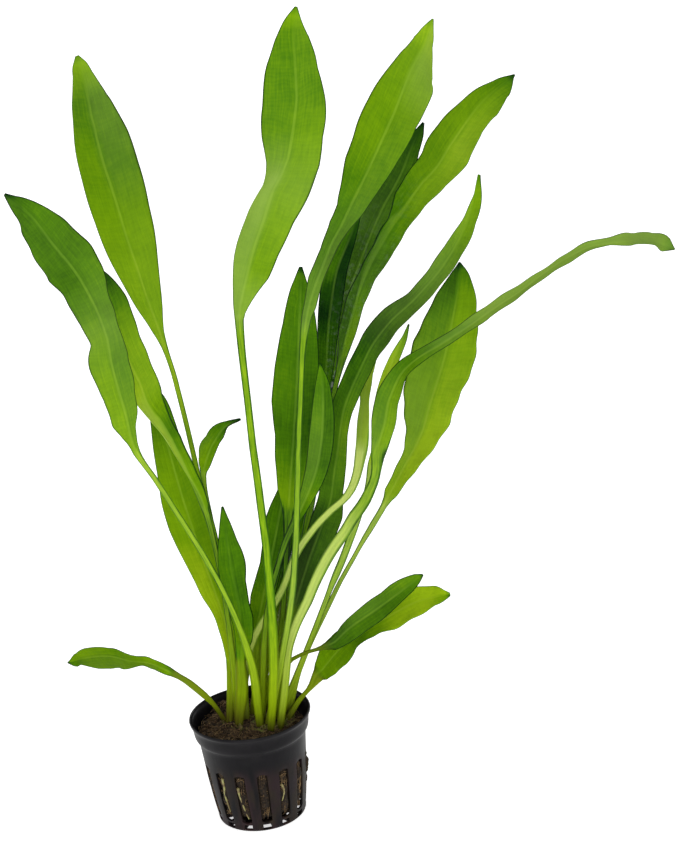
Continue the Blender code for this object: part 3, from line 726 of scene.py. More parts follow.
# %% List the leaves
LEAVES = {
    "tall_centre_leaf": (
        (-5, -15),
        [(9, -8, 44.5, 1.3), (14, -14, 80, 2), (18, -25, 152, 1.7), (19, -36, 234, 1.8)],
        [(21, -38, 244, 3.5), (28, -43, 261, 7.5), (37, -47, 278, 9), (45, -52, 295, 9.5),
         (50, -61, 319, 11.5), (52, -68, 340, 8), (53, -72, 351, 4), (55, -76, 361, 0.5)],
    ),
    "upper_left_leaf": (
        (-15, -30),
        [(-8, 11, 44.5, 1.3), (-6, 20, 83, 1.5), (-9, 34, 132, 1.5), (-14, 44, 185, 1.5)],
        [(-18, 47, 205, 1.8), (-22, 49, 224, 6.5), (-27, 56, 253, 12.5), (-31, 61, 282, 13),
         (-34, 67, 304, 9), (-36, 70, 313, 5.5), (-39, 74, 325, 0.5)],
    ),
    "wavy_left_leaf": (
        (-30, -15),
        [(4, -4, 44.5, 1.3), (4, -10, 77, 1.5), (-4, -17, 116, 1.5), (-22, -32, 169, 1.5)],
        [(-29, -40, 189, 2), (-31, -45, 209, 6.5), (-33, -49, 228, 8), (-33, -50, 239, 6.5),
         (-37, -58, 261, 8), (-41, -61, 273, 10), (-46, -67, 284, 8.5), (-51, -74, 296, 5),
         (-58, -83, 307, 0.5)],
    ),
    "left_behind_leaf": (
        (-35, -25),
        [(-5.5, 1.5, 44.5, 1.3), (-4, -1, 71, 1.5), (-4, -1, 111, 1.3)],
        [(-7, -3, 147, 1.8), (-14, -7, 177, 3.5), (-18, -11, 190, 4), (-22, -14, 200, 6.5),
         (-29, -20, 225, 8.5), (-32, -25, 245, 7.5), (-36, -31, 263, 0.5)],
    ),
    "broad_left_leaf": (
        (-20, -20),
        [(-9, 3.5, 44.5, 1.3), (-6.5, 4, 60, 1.8)],
        [(-5, 4, 72, 2.5), (-6, 8, 89, 4.5), (-9, 10, 104, 7.5), (-15, 15, 133, 9), (-19, 18, 158, 7),
         (-22, 17, 183, 4), (-23, 16, 195, 0.5)],
    ),
    "short_broad_leaf": (
        (-15, -10),
        [(-5, -2, 44.5, 1.3), (-2, -3, 60, 2)],
        [(0, -6, 78, 2), (2, -7, 91, 3.5), (2, -9, 118, 6.5), (1, -10, 134, 4), (0, -11, 148, 0.5)],
    ),
    "curled_leaf": (
        (-30, -40),
        [(-5, 8, 44.5, 1.3), (-6, 14, 81, 1.2), (-6, 20, 126, 1.2)],
        [(-7, 22, 150, 1.2), (-5, 22, 157, 3), (-1, 21, 165, 4.5), (5, 19, 172, 1.5), (12, 15, 176, 0.5)],
    ),
    "upper_right_leaf": (
        (15, 20),
        [(8, -4, 44.5, 1.3), (16.3, -10, 73, 1.5), (26.5, -16, 114, 1.8), (38, -28, 192, 1.5)],
        [(45, -31, 231, 2), (57, -32, 258, 3), (63, -32, 267, 4), (68, -34, 276, 6.5), (79, -38, 295, 9.5),
         (88, -41, 312, 11), (96, -45, 328, 7), (101, -49, 337, 3.5), (105, -50, 346, 0.5)],
    ),
    "dark_back_leaf": (
        (25, 25),
        [(8, 13, 44.5, 1.3), (19, 20, 87, 1.6), (28.5, 28, 117, 1.7), (36, 33, 137, 1.5)],
        [(55, 43, 192, 2.5), (66, 47, 221, 5), (81, 49, 249, 6.5), (92, 52, 265, 5), (98, 54, 276, 3),
         (103, 58, 283, 0.5)],
    ),
    "upper_far_right_leaf": (
        (20, 30),
        [(9, 2, 44.5, 1.3), (20, 6, 77, 1.5), (31, 11, 116, 1.5), (53, 18, 184, 1.5)],
        [(61, 20, 207, 4), (69, 22, 229, 7), (80, 22, 248, 8), (91, 23, 260, 7), (105, 23, 272, 9),
         (112, 23, 281, 10), (123, 23, 294, 7), (132, 23, 301, 4), (140, 23, 306, 0.5)],
    ),
    "deep_shade_leaf": (
        (15, 20),
        [(4, 10, 44.5, 1.3), (16, 13, 83, 1.6), (27, 19, 117, 1.6), (42, 26, 163, 1.5)],
        [(49, 30, 184, 3), (54, 32, 210, 5), (59, 32, 229, 5), (66, 33, 243, 3), (72, 34, 254, 0.5)],
    ),
    "dark_centre_leaf": (
        (-10, 0),
        [(5, 5, 44.5, 1.3), (17, 3, 79, 1.6), (25, 4, 122, 1.8)],
        [(29, 5, 146, 4.5), (34, 7, 172, 8.5), (38, 9, 195, 9), (41, 9, 214, 7.5), (43, 11, 226, 5),
         (45, 11, 240, 0.5)],
    ),
    "lower_centre_leaf": (
        (-15, -5),
        [(1.5, 8, 44.5, 1.3), (5, 6.5, 63, 1.6)],
        [(6.5, 8, 79, 3), (12, 9, 97, 4.7), (20, 11, 122, 4.8), (26, 14, 141, 3), (31, 14, 158, 0.5)],
    ),
    "inner_leaf": (
        (5, 10),
        [(5, 0, 44.5, 1.3), (10, -6, 79, 1.5), (14.5, -9, 101, 1.5), (25, -11, 129, 1.8)],
        [(33, -12, 143, 2.5), (41, -13, 159, 4.5), (45.5, -14, 176, 5.2), (48, -14, 195, 3.5),
         (48, -14, 206, 0.5)],
    ),
    "long_diagonal_leaf": (
        (15, 45),
        [(12.5, -3.2, 44.5, 1.3), (16, -3, 71, 1.6), (23.5, 0, 90, 1.9)],
        [(27, 1, 99, 2.2), (32.5, 2, 112, 3.8), (39, 1, 126, 4.8), (45.5, 0, 141, 5), (49.5, -1, 157, 5),
         (56, -3, 182, 5.5), (67, -7, 204, 5.5), (78, -11, 219, 6), (90, -14, 229, 5), (103, -18, 244, 5),
         (112, -22, 259, 4), (118, -25, 279, 0.5)],
    ),
    "broad_right_leaf": (
        (25, 20),
        [(17, 6, 44.5, 1.3), (24.5, 7.5, 64, 1.2), (41, 12, 91, 1.2), (56, 17, 114, 1.2),
         (67, 22.5, 127, 1.2)],
        [(71, 24, 132, 2.2), (77, 26, 140, 4), (87, 29, 155, 7.5), (93, 30, 171, 11.5), (100, 32, 188, 13.5),
         (105, 32, 204, 11), (109, 32, 217, 6.5), (111, 32, 228, 0.5)],
    ),
    "arching_right_leaf": (
        (30, 66),
        [(13, -6, 44.5, 1.3), (21, -8, 80, 1.8), (31.5, -11, 105, 2.2), (41, -15, 122, 2.4),
         (52.5, -20, 138, 1.8), (64, -27, 160, 1.8)],
        [(71, -34, 184, 5.5), (74, -35, 196, 5.5), (81, -36, 208, 4), (100, -36, 219, 2.5),
         (122, -36, 231, 4), (140, -36, 241, 3.5), (156, -36, 248, 3), (168, -36, 249, 2.5),
         (181, -36, 248, 4), (191, -36, 243, 0.5)],
    ),
    "narrow_right_leaf": (
        (40, 50),
        [(14, 4, 44.5, 1.3), (30, 3, 77, 1.2), (43, -2, 106, 1.2), (51, -7, 125, 1.2), (60, -13, 148, 1.2)],
        [(65, -19, 170, 3), (70, -23, 189, 3.5), (77, -23, 206, 3), (85, -23, 221, 0.5)],
    ),
    "thin_right_leaf": (
        (40, 50),
        [(-2, 4, 44.5, 1.3), (-1, 2, 62, 1.7), (6, 0, 82, 1.7), (20, -3, 103, 1.8), (30, -6, 123, 1.9),
         (44.5, -9, 140, 1.9), (54, -9, 148, 1.8), (60, -7, 160, 1.6)],
        [(63, -3, 175, 3), (66, 2, 187, 3), (69.5, 8, 200, 0.5)],
    ),
    "low_left_leaf": (
        (-55, -60),
        [(-12, 4, 44.5, 1.1), (-16, -1, 55, 1.1), (-24, -3, 65, 1.1)],
        [(-32, -6, 74, 2), (-40, -10, 81, 4), (-46, -13, 84, 5.5), (-54, -17, 89, 7.5), (-64, -22, 92, 5),
         (-71, -24, 92, 0.5)],
    ),
    "low_right_front_leaf": (
        (35, 30),
        [(13, 0, 44.5, 1.1), (19, -1, 65, 1), (27, -4, 72, 1), (34, -7, 76, 1.2)],
        [(40, -9, 80, 3.5), (48, -13, 88, 6), (60, -17, 97, 6), (71, -20, 105, 4), (80, -22, 112, 0.5)],
    ),
    "low_right_back_leaf": (
        (35, 35),
        [(18, 2, 44.5, 1.1), (22, 4, 49, 1), (27, 4, 54, 1.2)],
        [(33, 3, 62, 4), (40, 1, 70, 7.5), (50, -1, 79, 7.5), (65, -4, 87, 7.5), (77, -6, 93, 6.5),
         (86, -7, 95, 3), (91, -9, 96, 0.5)],
    ),
}
print(len(LEAVES), "leaves")

# %% [markdown]
# ### What sets each leaf apart
#
# Young leaves are bright yellow-green and old ones nearly black-green. The colour also holds painted light and
# shade: leaves deep in the bunch are painted dark as shade, and in one leaf the two halves are painted lit and
# shaded differently. A few rows per leaf give that: at a share of the blade from base to tip, a number for the
# left half and one for the right.
#
# - `edges` moves the left and the right edge out, in millimetres.
# - `rib` moves the midrib to the right, and `lift` raises each half from it, as shares of the half width.
# - The tone rows run from 0, the darkest green, to 1, the brightest, and hold painted shade and light as well
#   as the leaf's own green; the pale rows give a greyish bloom and painted sheen.
# - `ruffle` is the height and the length of the edge's waves in millimetres.
# - `swell` and `sway` go by shares of the whole leaf, stalk and blade: millimetres added to its half width,
#   and millimetres that its line moves to the right.
# - `girth` is how thick the stalk is far up, as a share of its stations' widths.
# - `stalk` holds the stalk's tone, with painted shade in it, and its paleness, partly a painted highlight, at
#   shares of the stalk.
# - `vein` is the strength of the pale midrib, `wet` that of the water drops, and `stain` the length in
#   millimetres of the brown foot.

# %% Describe each leaf's look
PLAIN_LOOK = {
    "edges": [(1, 0, 0)],
    "swell": [(1, 0)],
    "sway": [(1, 0)],
    "girth": 0.72,
    "rib": [(1, 0)],
    "lift": [(1, 0.16, 0.16)],
    "ruffle": (0.2, 23),
    "tone": [(1, 0.6, 0.6)],
    "pale": [(1, 0, 0)],
    "vein": 0.4,
    "wet": 0,
    "stain": 8,
    "stalk": [(0, 0.75, 0.1), (1, 0.7, 0.35)],
}
# The tone rows paint shade and light into each leaf and stalk, and the pale rows paint sheen.
LOOKS = {
    "tall_centre_leaf": {
        "edges": [(0, 0, 0.5), (0.1, 0.2, 1.3), (0.19, 0.5, 0), (0.3, 0.5, -0.5), (0.4, -1, 0.6),
                  (0.49, -0.5, 1), (0.58, 1, -0.3), (0.7, 1.5, 0), (0.8, 2.5, -0.2), (0.9, 2.4, 1),
                  (0.96, 1.3, 0.4), (1, 0, 0)],
        "sway": [(0, 0), (0.2, 0.2), (0.28, 0), (0.34, -0.7), (0.42, -1.1), (0.48, -0.7), (0.55, -0.5),
                 (0.62, 0)],
        "girth": 0.95,
        "rib": [(0, 0), (0.15, -0.15), (0.38, -0.38), (0.5, -0.12), (0.7, 0.05), (1, 0)],
        "lift": [(0, 0.2, 0.2), (0.2, 0.42, 0.1), (0.42, 0.5, 0.05), (0.55, 0.15, 0.15), (0.75, 0.05, 0.2),
                 (1, 0.1, 0.1)],
        "ruffle": (0.25, 19),
        "tone": [(0, 0.75, 0.9), (0.35, 0.85, 0.9), (0.5, 0.75, 0.85), (0.8, 0.65, 0.7), (0.92, 0.7, 0.75),
                 (1, 1.05, 1.1)],
        "pale": [(0, 0.5, 0.4), (0.12, 0.5, 0.05), (0.3, 0.75, 0.15), (0.42, 0.8, 0.3), (0.5, 0.3, 0.15),
                 (0.6, 0.05, 0.05), (1, 0, 0.05)],
        "stalk": [(0, 0.95, 0.02), (1, 0.95, 0.03)],
    },
    "upper_left_leaf": {
        "edges": [(0, 0.5, -0.5), (0.1, 0.3, 0), (0.3, 0.7, -0.7), (0.45, 0.5, -1.4), (0.6, 1.2, -1.2),
                  (0.72, 1.8, -0.6), (0.85, 2, -1.1), (0.93, 1.7, 0.4), (0.97, 1.2, 1.2), (1, 0, 0.6)],
        "sway": [(0.3, 0), (0.5, -0.5), (0.6, 0)],
        "rib": [(0, 0), (0.5, -0.12), (0.8, -0.25), (1, 0)],
        "lift": [(0, 0.1, 0.12), (0.5, 0.14, 0.24), (1, 0.1, 0.2)],
        "ruffle": (0.16, 24),
        "tone": [(0, 1, 0.95), (0.4, 0.9, 0.9), (0.6, 0.8, 0.65), (0.85, 0.65, 0.6), (1, 1.1, 1.15)],
        "pale": [(0, 0.1, 0.1), (0.45, 0, 0.05), (0.7, 0, 0.22), (0.88, 0.08, 0.3), (1, 0.1, 0.1)],
        "stain": 15,
        "stalk": [(0, 1.05, 0.03), (1, 1.1, 0.05)],
    },
    "wavy_left_leaf": {
        "edges": [(0, -1, 0), (0.1, 1.2, 0), (0.2, -0.6, 0), (0.3, 0.5, 0), (0.4, 0.3, 0), (0.5, 1.2, 0),
                  (0.6, 0.5, 1.2), (0.7, 1, 0), (0.8, 0.8, 1), (0.88, 1.6, 0.3), (0.95, 0.6, 0.3), (1, 0, 0)],
        "swell": [(0, 0), (0.08, 0.5), (0.12, 0.4), (0.2, 0)],
        "rib": [(0, 0.1), (0.45, 0.12), (0.7, -0.05), (1, 0)],
        "lift": [(0, 0.15, 0.15), (0.5, 0.1, 0.25), (0.8, 0.05, 0.1), (1, 0.1, 0.1)],
        "ruffle": (0.6, 14),
        "tone": [(0, 1, 0.85), (0.25, 0.9, 0.65), (0.4, 0.75, 0.6), (0.6, 0.55, 0.6), (0.88, 0.5, 0.6),
                 (1, 0.6, 0.4)],
        "pale": [(0, 0.1, 0.1), (0.25, 0.1, 0.2), (0.42, 0.28, 0.32), (0.6, 0.05, 0.1), (1, 0.05, 0)],
        "stalk": [(0, 1, 0.05), (1, 1.05, 0.12)],
    },
    "left_behind_leaf": {
        "edges": [(0, 0, 0.9), (0.12, -0.5, -0.3), (0.25, 0.3, -1.2), (0.38, 1.5, -1), (0.45, 0.3, -0.3),
                  (0.6, 0, -0.4), (0.72, 0, -0.6), (0.8, 0, -0.4), (0.95, 0, 1), (1, 0, 1.2)],
        "rib": [(0, -0.3), (0.12, -0.65), (0.4, -0.65), (0.52, -0.1), (1, 0)],
        "ruffle": (0.3, 13),
        "tone": [(0, 0.65, 0.9), (0.2, 1.2, 0.8), (0.3, 1.3, 0.6), (0.5, 1.2, 1.05), (0.7, 0.85, 0.9),
                 (0.85, 0.6, 0.65), (1, 0.1, 0.1)],
        "pale": [(0, 0.2, 0), (0.25, 0.5, 0), (0.42, 0.5, 0), (0.5, 0.1, 0.1), (1, 0, 0)],
        "stain": 15,
        "stalk": [(0, 0.85, 0.03), (1, 0.85, 0.08)],
    },
    "broad_left_leaf": {
        "edges": [(0, -0.5, 0), (0.1, -0.7, 0), (0.2, -1.5, 0), (0.3, -1.2, 0), (0.4, -0.2, 0),
                  (0.5, 1.3, 0.7), (0.6, 1.5, 1.7), (0.7, 1, 0.7), (0.8, 0.5, 0.3), (0.9, 0, 1.5),
                  (0.96, 0, 1.9), (1, 0, 1.5)],
        "ruffle": (0.23, 21),
        "tone": [(0, 1.3, 1.2), (0.3, 1.25, 0.9), (0.45, 1, 0.8), (0.7, 0.9, 0.8), (1, 0.45, 0.45)],
        "stain": 15,
        "stalk": [(0, 0.95, 0.03), (1, 1, 0.03)],
    },
    "short_broad_leaf": {
        "edges": [(0, 0, 0.5), (0.1, 0, 1.5), (0.25, 0, 1), (0.35, 0, -1), (0.5, 0, -2.2), (0.62, 0, -1),
                  (0.7, 0, -0.6), (0.85, 0, -0.5), (1, 0, 0)],
        "swell": [(0, 0), (0.15, 0.6), (0.28, 0.6), (0.36, 0)],
        "sway": [(0, 0), (0.2, 0.3), (0.3, 0), (0.85, 0), (0.92, 0.6), (1, 1)],
        "rib": [(0, 0), (0.6, -0.15), (1, 0)],
        "ruffle": (0.18, 15),
        "tone": [(0, 0.65, 0.85), (0.2, 0.85, 0.6), (0.4, 0.6, 0.5), (0.7, 0.65, 0.6), (1, 0.6, 0.6)],
        "vein": 0.12,
        "stain": 15,
        "stalk": [(0, 0.85, 0.02), (0.7, 0.6, 0.02), (1, 0.65, 0.02)],
    },
    "curled_leaf": {
        "edges": [(0, 0, -0.6), (0.1, 0, 0.1), (0.2, 0.6, -0.5), (0.3, 1.4, -1), (0.42, 2.3, -1.8),
                  (0.5, 2.6, -1.8), (0.6, 2.5, -0.7), (0.7, 1.7, 0), (0.8, 0.8, -0.4), (1, 0.2, 0)],
        "lift": [(0, 0.2, 0.2), (0.6, 0.4, 0.4), (1, 0.3, 0.3)],
        "tone": [(0, 0.65, 0.75), (0.2, 0.95, 0.8), (0.5, 0.75, 0.65), (0.75, 0.6, 0.4), (1, 0.05, 0.05)],
        "stain": 15,
        "stalk": [(0, 0.9, 0.03), (1, 0.95, 0.1)],
    },
    "upper_right_leaf": {
        "edges": [(0, 0, 0), (0.04, 0, 1.3), (0.08, 0.6, 0.6), (0.12, 1.3, 0), (0.16, 0.8, 0), (0.22, 0.2, 0),
                  (0.3, 0.9, 0), (0.36, -0.9, 0), (0.42, -0.2, 0), (0.5, 1.1, 0), (0.6, 1, 0.2),
                  (0.69, 0.2, 0.4), (0.76, 0.2, 2.8), (0.82, 0.4, 5.4), (0.88, 0.5, 5.6), (0.93, 1.5, 0.5),
                  (0.97, 1.2, -0.2), (1, 0, -0.3)],
        "lift": [(0, 0.3, 0.3), (0.3, 0.35, 0.2), (0.6, 0.2, 0.14), (0.9, 0.1, 0.4), (1, 0.1, 0.2)],
        "ruffle": (0.23, 20),
        "tone": [(0, 0.5, 0.7), (0.2, 0.55, 0.5), (0.45, 0.65, 0.65), (0.7, 0.9, 0.85), (0.88, 0.85, 0.95),
                 (1, 1.2, 1.25)],
        "pale": [(0, 0.3, 0.3), (0.2, 0.15, 0.3), (0.45, 0, 0.12), (0.7, 0, 0.05), (0.86, 0.05, 0.45),
                 (1, 0.1, 0.3)],
        "stalk": [(0, 0.9, 0.08), (0.3, 0.95, 0.2), (0.6, 0.95, 0.08), (1, 0.9, 0.03)],
    },
    "dark_back_leaf": {
        "edges": [(0.3, 0, 0), (0.45, 0.8, -0.8), (0.52, 1.9, -1.5), (0.6, 1.6, -1.4), (0.68, 0.3, 0.3),
                  (0.8, 0, 0.8), (0.95, 0, 0.6), (1, 0, 0)],
        "sway": [(0, 0), (0.12, 0.4), (0.2, 1), (0.3, 2.5), (0.4, 2.5), (0.55, 0)],
        "girth": 1.1,
        "tone": [(0, 0.5, 0.6), (0.4, 0.4, 0.5), (0.6, 0.35, 0.5), (0.8, 0.4, 0.5), (1, 0.3, 0.35)],
        "pale": [(0, 0.05, 0.05), (0.6, 0.12, 0.1), (1, 0, 0)],
        "wet": 1.8,
        "stalk": [(0, 0.6, 0), (1, 0.5, 0)],
    },
    "upper_far_right_leaf": {
        "edges": [(0, 0, 0), (0.1, -2, -0.8), (0.2, -5.5, -0.2), (0.3, -7, 2), (0.39, -6.7, 2.2),
                  (0.43, -4.6, 2.7), (0.47, -1.6, 2.8), (0.52, -0.5, 2.4), (0.6, 0, 1.4), (0.7, 0, 2.9),
                  (0.8, 0, 2), (0.88, 0.4, 5), (0.95, 0.4, 3), (1, 0, -0.9)],
        "swell": [(0.27, 0), (0.32, 0.6), (0.36, 0.4), (0.42, 0)],
        "rib": [(0, 0), (0.2, 0.3), (0.43, 0.4), (0.55, 0)],
        "lift": [(0, 0.25, 0.25), (0.5, 0.2, 0.15), (0.72, 0.15, 0.3), (1, 0.1, 0.1)],
        "ruffle": (0.35, 15),
        "tone": [(0, 0.45, 0.85), (0.2, 0.35, 0.5), (0.3, 0.4, 0.55), (0.45, 0.65, 0.8), (0.7, 0.8, 1.1),
                 (0.85, 0.9, 1), (1, 0.5, 0.55)],
        "pale": [(0, 0.1, 0.1), (0.25, 0.05, 0.1), (0.4, 0, 0), (0.72, 0.02, 0.15), (1, 0, 0)],
        "wet": 0.3,
        "stalk": [(0, 0.8, 0.03), (1, 0.7, 0.05)],
    },
    "deep_shade_leaf": {
        "sway": [(0, 0), (0.15, -1), (0.27, -1.5), (0.4, -0.5), (0.5, 0)],
        "girth": 1.1,
        "tone": [(0, 0.6, 0.6), (0.2, 0.45, 0.4), (0.38, 0.05, 0.3), (0.65, 0.55, 0.1), (0.8, 0.4, 0.05),
                 (1, 0.5, 0.45)],
        "wet": 0.5,
        "stalk": [(0, 0.5, 0), (1, 0.35, 0)],
    },
    "dark_centre_leaf": {
        "edges": [(0, 0.7, 1.2), (0.15, 0.5, 0.5), (0.25, -0.3, 0), (0.4, 1.1, 0), (0.55, 0.6, 0),
                  (0.75, -0.3, 0), (0.9, 0.7, 0), (1, 0.4, 0)],
        "lift": [(0, 0.2, 0.2), (0.5, 0.1, 0.25), (1, 0.1, 0.1)],
        "ruffle": (0.32, 14),
        "tone": [(0, 0.95, 0.85), (0.2, 0.6, 0.5), (0.3, 0.55, 0.4), (0.5, 0.65, 0.45), (0.7, 0.6, 0.55),
                 (0.95, 0.7, 0.6), (1, 0.5, 0.35)],
        "stalk": [(0, 0.75, 0.03), (0.8, 0.5, 0.03), (1, 0.85, 0.03)],
    },
    "lower_centre_leaf": {
        "edges": [(0, 0, 0), (0.15, 0.4, 0), (0.23, 0.9, 0), (0.32, 0, 0), (0.41, -0.7, 0), (0.5, 0, 0),
                  (0.6, 0.6, 0), (0.66, 1.4, 0), (0.72, 1, 0), (0.8, 0, 0)],
        "tone": [(0, 0.8, 0.9), (0.25, 0.75, 0.7), (0.45, 0.55, 0.5), (0.8, 0.6, 0.5), (1, 0.4, 0.4)],
        "stalk": [(1, 0.8, 0.05)],
    },
    "inner_leaf": {
        "tone": [(0, 0.7, 0.7), (0.1, 0.75, 0.8), (0.3, 0.55, 0.5), (0.6, 0.65, 0.45), (0.85, 0.65, 0.55),
                 (1, 0.75, 0.65)],
        "pale": [(0, 0.1, 0), (0.4, 0.2, 0.05), (1, 0, 0)],
        "stalk": [(0, 0.8, 0.03), (1, 0.6, 0.05)],
    },
    "long_diagonal_leaf": {
        "edges": [(0, 0.5, 1), (0.08, 0.5, 1.4), (0.13, 0.5, 2.4), (0.17, 0.5, 2.8), (0.2, 0.5, 2.8),
                  (0.25, 0.4, 0.3), (0.31, 0.3, 0.3), (0.37, 0.2, -1.3), (0.43, 0.1, -1), (0.48, 0, 0.2),
                  (0.54, 0, 0.8), (0.58, 0, 0.9), (0.62, -0.4, 2.2), (0.66, -1, 2.2), (0.71, -1.2, 2),
                  (0.77, -1, 1.8), (0.84, -0.6, 2.2), (0.9, -1.4, 1.8), (0.96, -1.8, 1.2), (1, -0.3, 0.5)],
        "swell": [(0.1, 0), (0.16, 0.4), (0.25, 0.5), (0.3, 0)],
        "lift": [(0, 0.1, 0.1), (0.5, 0.2, 0.2), (0.62, 0.4, 0.4), (0.85, 0.3, 0.3), (1, 0.1, 0.1)],
        "ruffle": (0.2, 16),
        "tone": [(0, 0.05, 0.15), (0.13, 0.1, 0.4), (0.22, 0.5, 0.55), (0.38, 0.55, 0.8), (0.5, 0.45, 0.55),
                 (0.62, 0.25, 0.4), (0.8, 0.65, 0.65), (0.92, 1, 0.95), (1, 1.1, 0.9)],
        "pale": [(0, 0.1, 0.1), (0.55, 0, 0.05), (0.77, 0.35, 0.3), (0.88, 0.2, 0.05), (1, 0.1, 0)],
        "stalk": [(0, 0.9, 0.08), (1, 0.4, 0.03)],
    },
    "broad_right_leaf": {
        "edges": [(0, 0.5, 0.7), (0.05, -0.2, 0.9), (0.1, -1, 1.2), (0.19, -2.1, 1.7), (0.28, -0.3, 1.8),
                  (0.35, 0, 2.4), (0.42, 0, 1.2), (0.5, 0, 0.8), (0.6, 0, 1.5), (0.75, -0.8, 2),
                  (0.9, 0, 1.7), (0.95, 0, 1.7), (1, 0, -0.2)],
        "swell": [(0.38, 0), (0.44, 0.5), (0.5, 0.3), (0.54, 0)],
        "sway": [(0.3, 0), (0.36, 0.8), (0.42, 1.1), (0.47, 0.9), (0.52, 0.4), (0.58, 0)],
        "rib": [(0, 0), (0.3, 0.05), (0.7, 0.08), (1, 0)],
        "lift": [(0, 0.2, 0.2), (0.5, 0.28, 0.12), (1, 0.1, 0.1)],
        "ruffle": (0.7, 12),
        "tone": [(0, 1.1, 1.1), (0.25, 0.9, 1.3), (0.5, 0.85, 1.05), (0.7, 0.75, 1.05), (0.88, 0.45, 0.85),
                 (1, 0.25, 0.4)],
        "pale": [(0, 0.1, 0.1), (0.3, 0.3, 0.1), (0.5, 0.2, 0.1), (1, 0, 0)],
        "stalk": [(0, 0.85, 0.1), (1, 1.05, 0.3)],
    },
    "arching_right_leaf": {
        "edges": [(0, 0, 0), (0.45, 0, -0.4), (0.6, -1.2, -0.4), (0.7, -1.2, 0.3), (0.74, -0.4, 0.1),
                  (0.78, -0.4, -1.2), (0.82, 0.1, -1.3), (0.86, 1, -0.2), (0.9, 2.2, 2.2), (0.94, 2.6, 2.5),
                  (0.975, 1.8, 0.2), (1, 0, -0.5)],
        "swell": [(0, 0), (0.28, 0.1), (0.33, 0.5), (0.36, 0.8), (0.4, 0.9), (0.45, 0)],
        "sway": [(0, 0), (0.08, 0.3), (0.13, -0.4), (0.17, 0.1), (0.21, 1.2), (0.27, 0.8), (0.32, 0.4),
                 (0.36, 0.1), (0.39, 1.1), (0.43, 1.2), (0.47, -0.5), (0.5, -0.3), (0.62, 1.3), (0.72, 1.8),
                 (0.8, 1.5), (0.88, 0.6), (0.95, 0.8), (1, 0.5)],
        "girth": 0.95,
        "lift": [(0, 0.3, 0.3), (0.4, 0.2, 0.2)],
        "ruffle": (0.25, 14),
        "tone": [(0, 0.7, 0.95), (0.2, 0.6, 0.7), (0.3, 0.55, 0.7), (0.45, 0.8, 0.85), (0.65, 0.9, 0.85),
                 (0.85, 0.75, 0.85), (1, 0.75, 0.7)],
        "pale": [(0, 0.2, 0.1), (0.2, 0, 0), (0.33, 0.3, 0.25), (0.45, 0.7, 0.6), (0.95, 0.75, 0.7),
                 (1, 0.2, 0.2)],
        "stalk": [(0, 0.95, 0.08), (0.3, 1.05, 0.6), (0.62, 1.05, 0.5), (0.75, 0.95, 0.1), (1, 0.8, 0.05)],
    },
    "narrow_right_leaf": {
        "edges": [(0, -2, 0), (0.2, -1.5, 0), (0.3, -1, 0), (0.6, -0.5, 0), (0.8, -1, 0.3), (0.9, -1, 0.5),
                  (1, -0.2, 0)],
        "swell": [(0.33, 0.1), (0.38, 0.6), (0.5, 0.7), (0.56, 0.4), (0.64, 0.4), (0.72, 0)],
        "sway": [(0.35, 0), (0.42, 0.5), (0.5, 0.6), (0.58, 0.8), (0.64, 1.2), (0.72, 1.2), (0.8, 0)],
        "tone": [(0, 1.2, 1.2), (0.65, 1.2, 1.25), (0.85, 1, 0.85), (1, 0.5, 0.5)],
        "pale": [(0, 0.15, 0.15), (1, 0.1, 0.1)],
        "stalk": [(0, 0.85, 0.08), (1, 1.05, 0.3)],
    },
    "thin_right_leaf": {
        "edges": [(0.3, -1.5, 0), (0.45, -0.8, 0), (0.7, -0.3, 0), (0.9, 0, 1.4), (0.97, 0, 2), (1, 0, 0.8)],
        "swell": [(0, 0), (0.08, 0.4), (0.14, 0.6), (0.2, 0), (0.66, 0.1), (0.7, 0.5), (0.76, 1.1),
                  (0.82, 1.6), (0.88, 0.4), (0.94, 0)],
        "sway": [(0.58, 0), (0.65, 0.8), (0.7, 0.3), (0.76, -0.4), (0.82, -0.2), (0.9, -0.8), (1, 0)],
        "tone": [(0, 1.15, 1.3), (1, 1.25, 1.3)],
        "pale": [(0, 0.6, 0.5), (1, 0.3, 0.3)],
        "stalk": [(0, 1, 0.3), (0.12, 1.3, 0.8), (0.3, 1.25, 0.7), (0.45, 1.15, 0.5), (1, 1.2, 0.75)],
    },
    "low_left_leaf": {
        "edges": [(0, -0.3, -0.3), (0.2, -0.5, -0.7), (0.3, -1.5, -2), (0.4, -0.7, -2.2), (0.5, 0.6, -3),
                  (0.6, 2.3, -3.3), (0.7, 4.7, -1.3), (0.8, 4.6, 0), (0.9, 1.5, 0.5), (0.95, 0.2, -0.3),
                  (1, -0.5, -0.5)],
        "swell": [(0, -0.2), (0.1, -0.3), (0.17, -0.2), (0.24, 0.4), (0.32, 0.5), (0.4, 0)],
        "sway": [(0, 0), (0.1, 0.2), (0.2, 0.5), (0.35, 1.2), (0.5, 0.4), (1, 0)],
        "girth": 0.6,
        "lift": [(0, 0.2, 0.2), (0.6, 0.25, 0.25), (1, 0.1, 0.1)],
        "ruffle": (0.23, 13),
        "tone": [(0, 0.9, 0.65), (0.2, 0.9, 0.95), (0.5, 0.85, 0.8), (0.8, 0.85, 1), (1, 0.55, 0.8)],
        "stain": 15,
        "stalk": [(0, 0.15, 0), (1, 0.25, 0.05)],
    },
    "low_right_front_leaf": {
        "edges": [(0, -1.3, 0), (0.1, -1.9, 0), (0.2, -2.3, 0), (0.4, -1.6, 0), (0.6, -0.8, 0), (0.7, 0.4, 0),
                  (0.8, 0.9, 0), (0.95, 1.2, 0.3), (1, 0, 0)],
        "sway": [(0, 0), (0.12, -1), (0.2, -2), (0.3, -2.7), (0.4, -1.5), (0.5, 0)],
        "girth": 0.5,
        "ruffle": (0.2, 15),
        "tone": [(0, 0.45, 0.5), (0.1, 0.4, 0.55), (0.3, 0.55, 0.6), (0.6, 0.6, 0.55), (0.8, 0.75, 0.6),
                 (1, 0.7, 0.7)],
        "pale": [(0, 0.1, 0.05), (0.5, 0.15, 0.05), (1, 0, 0)],
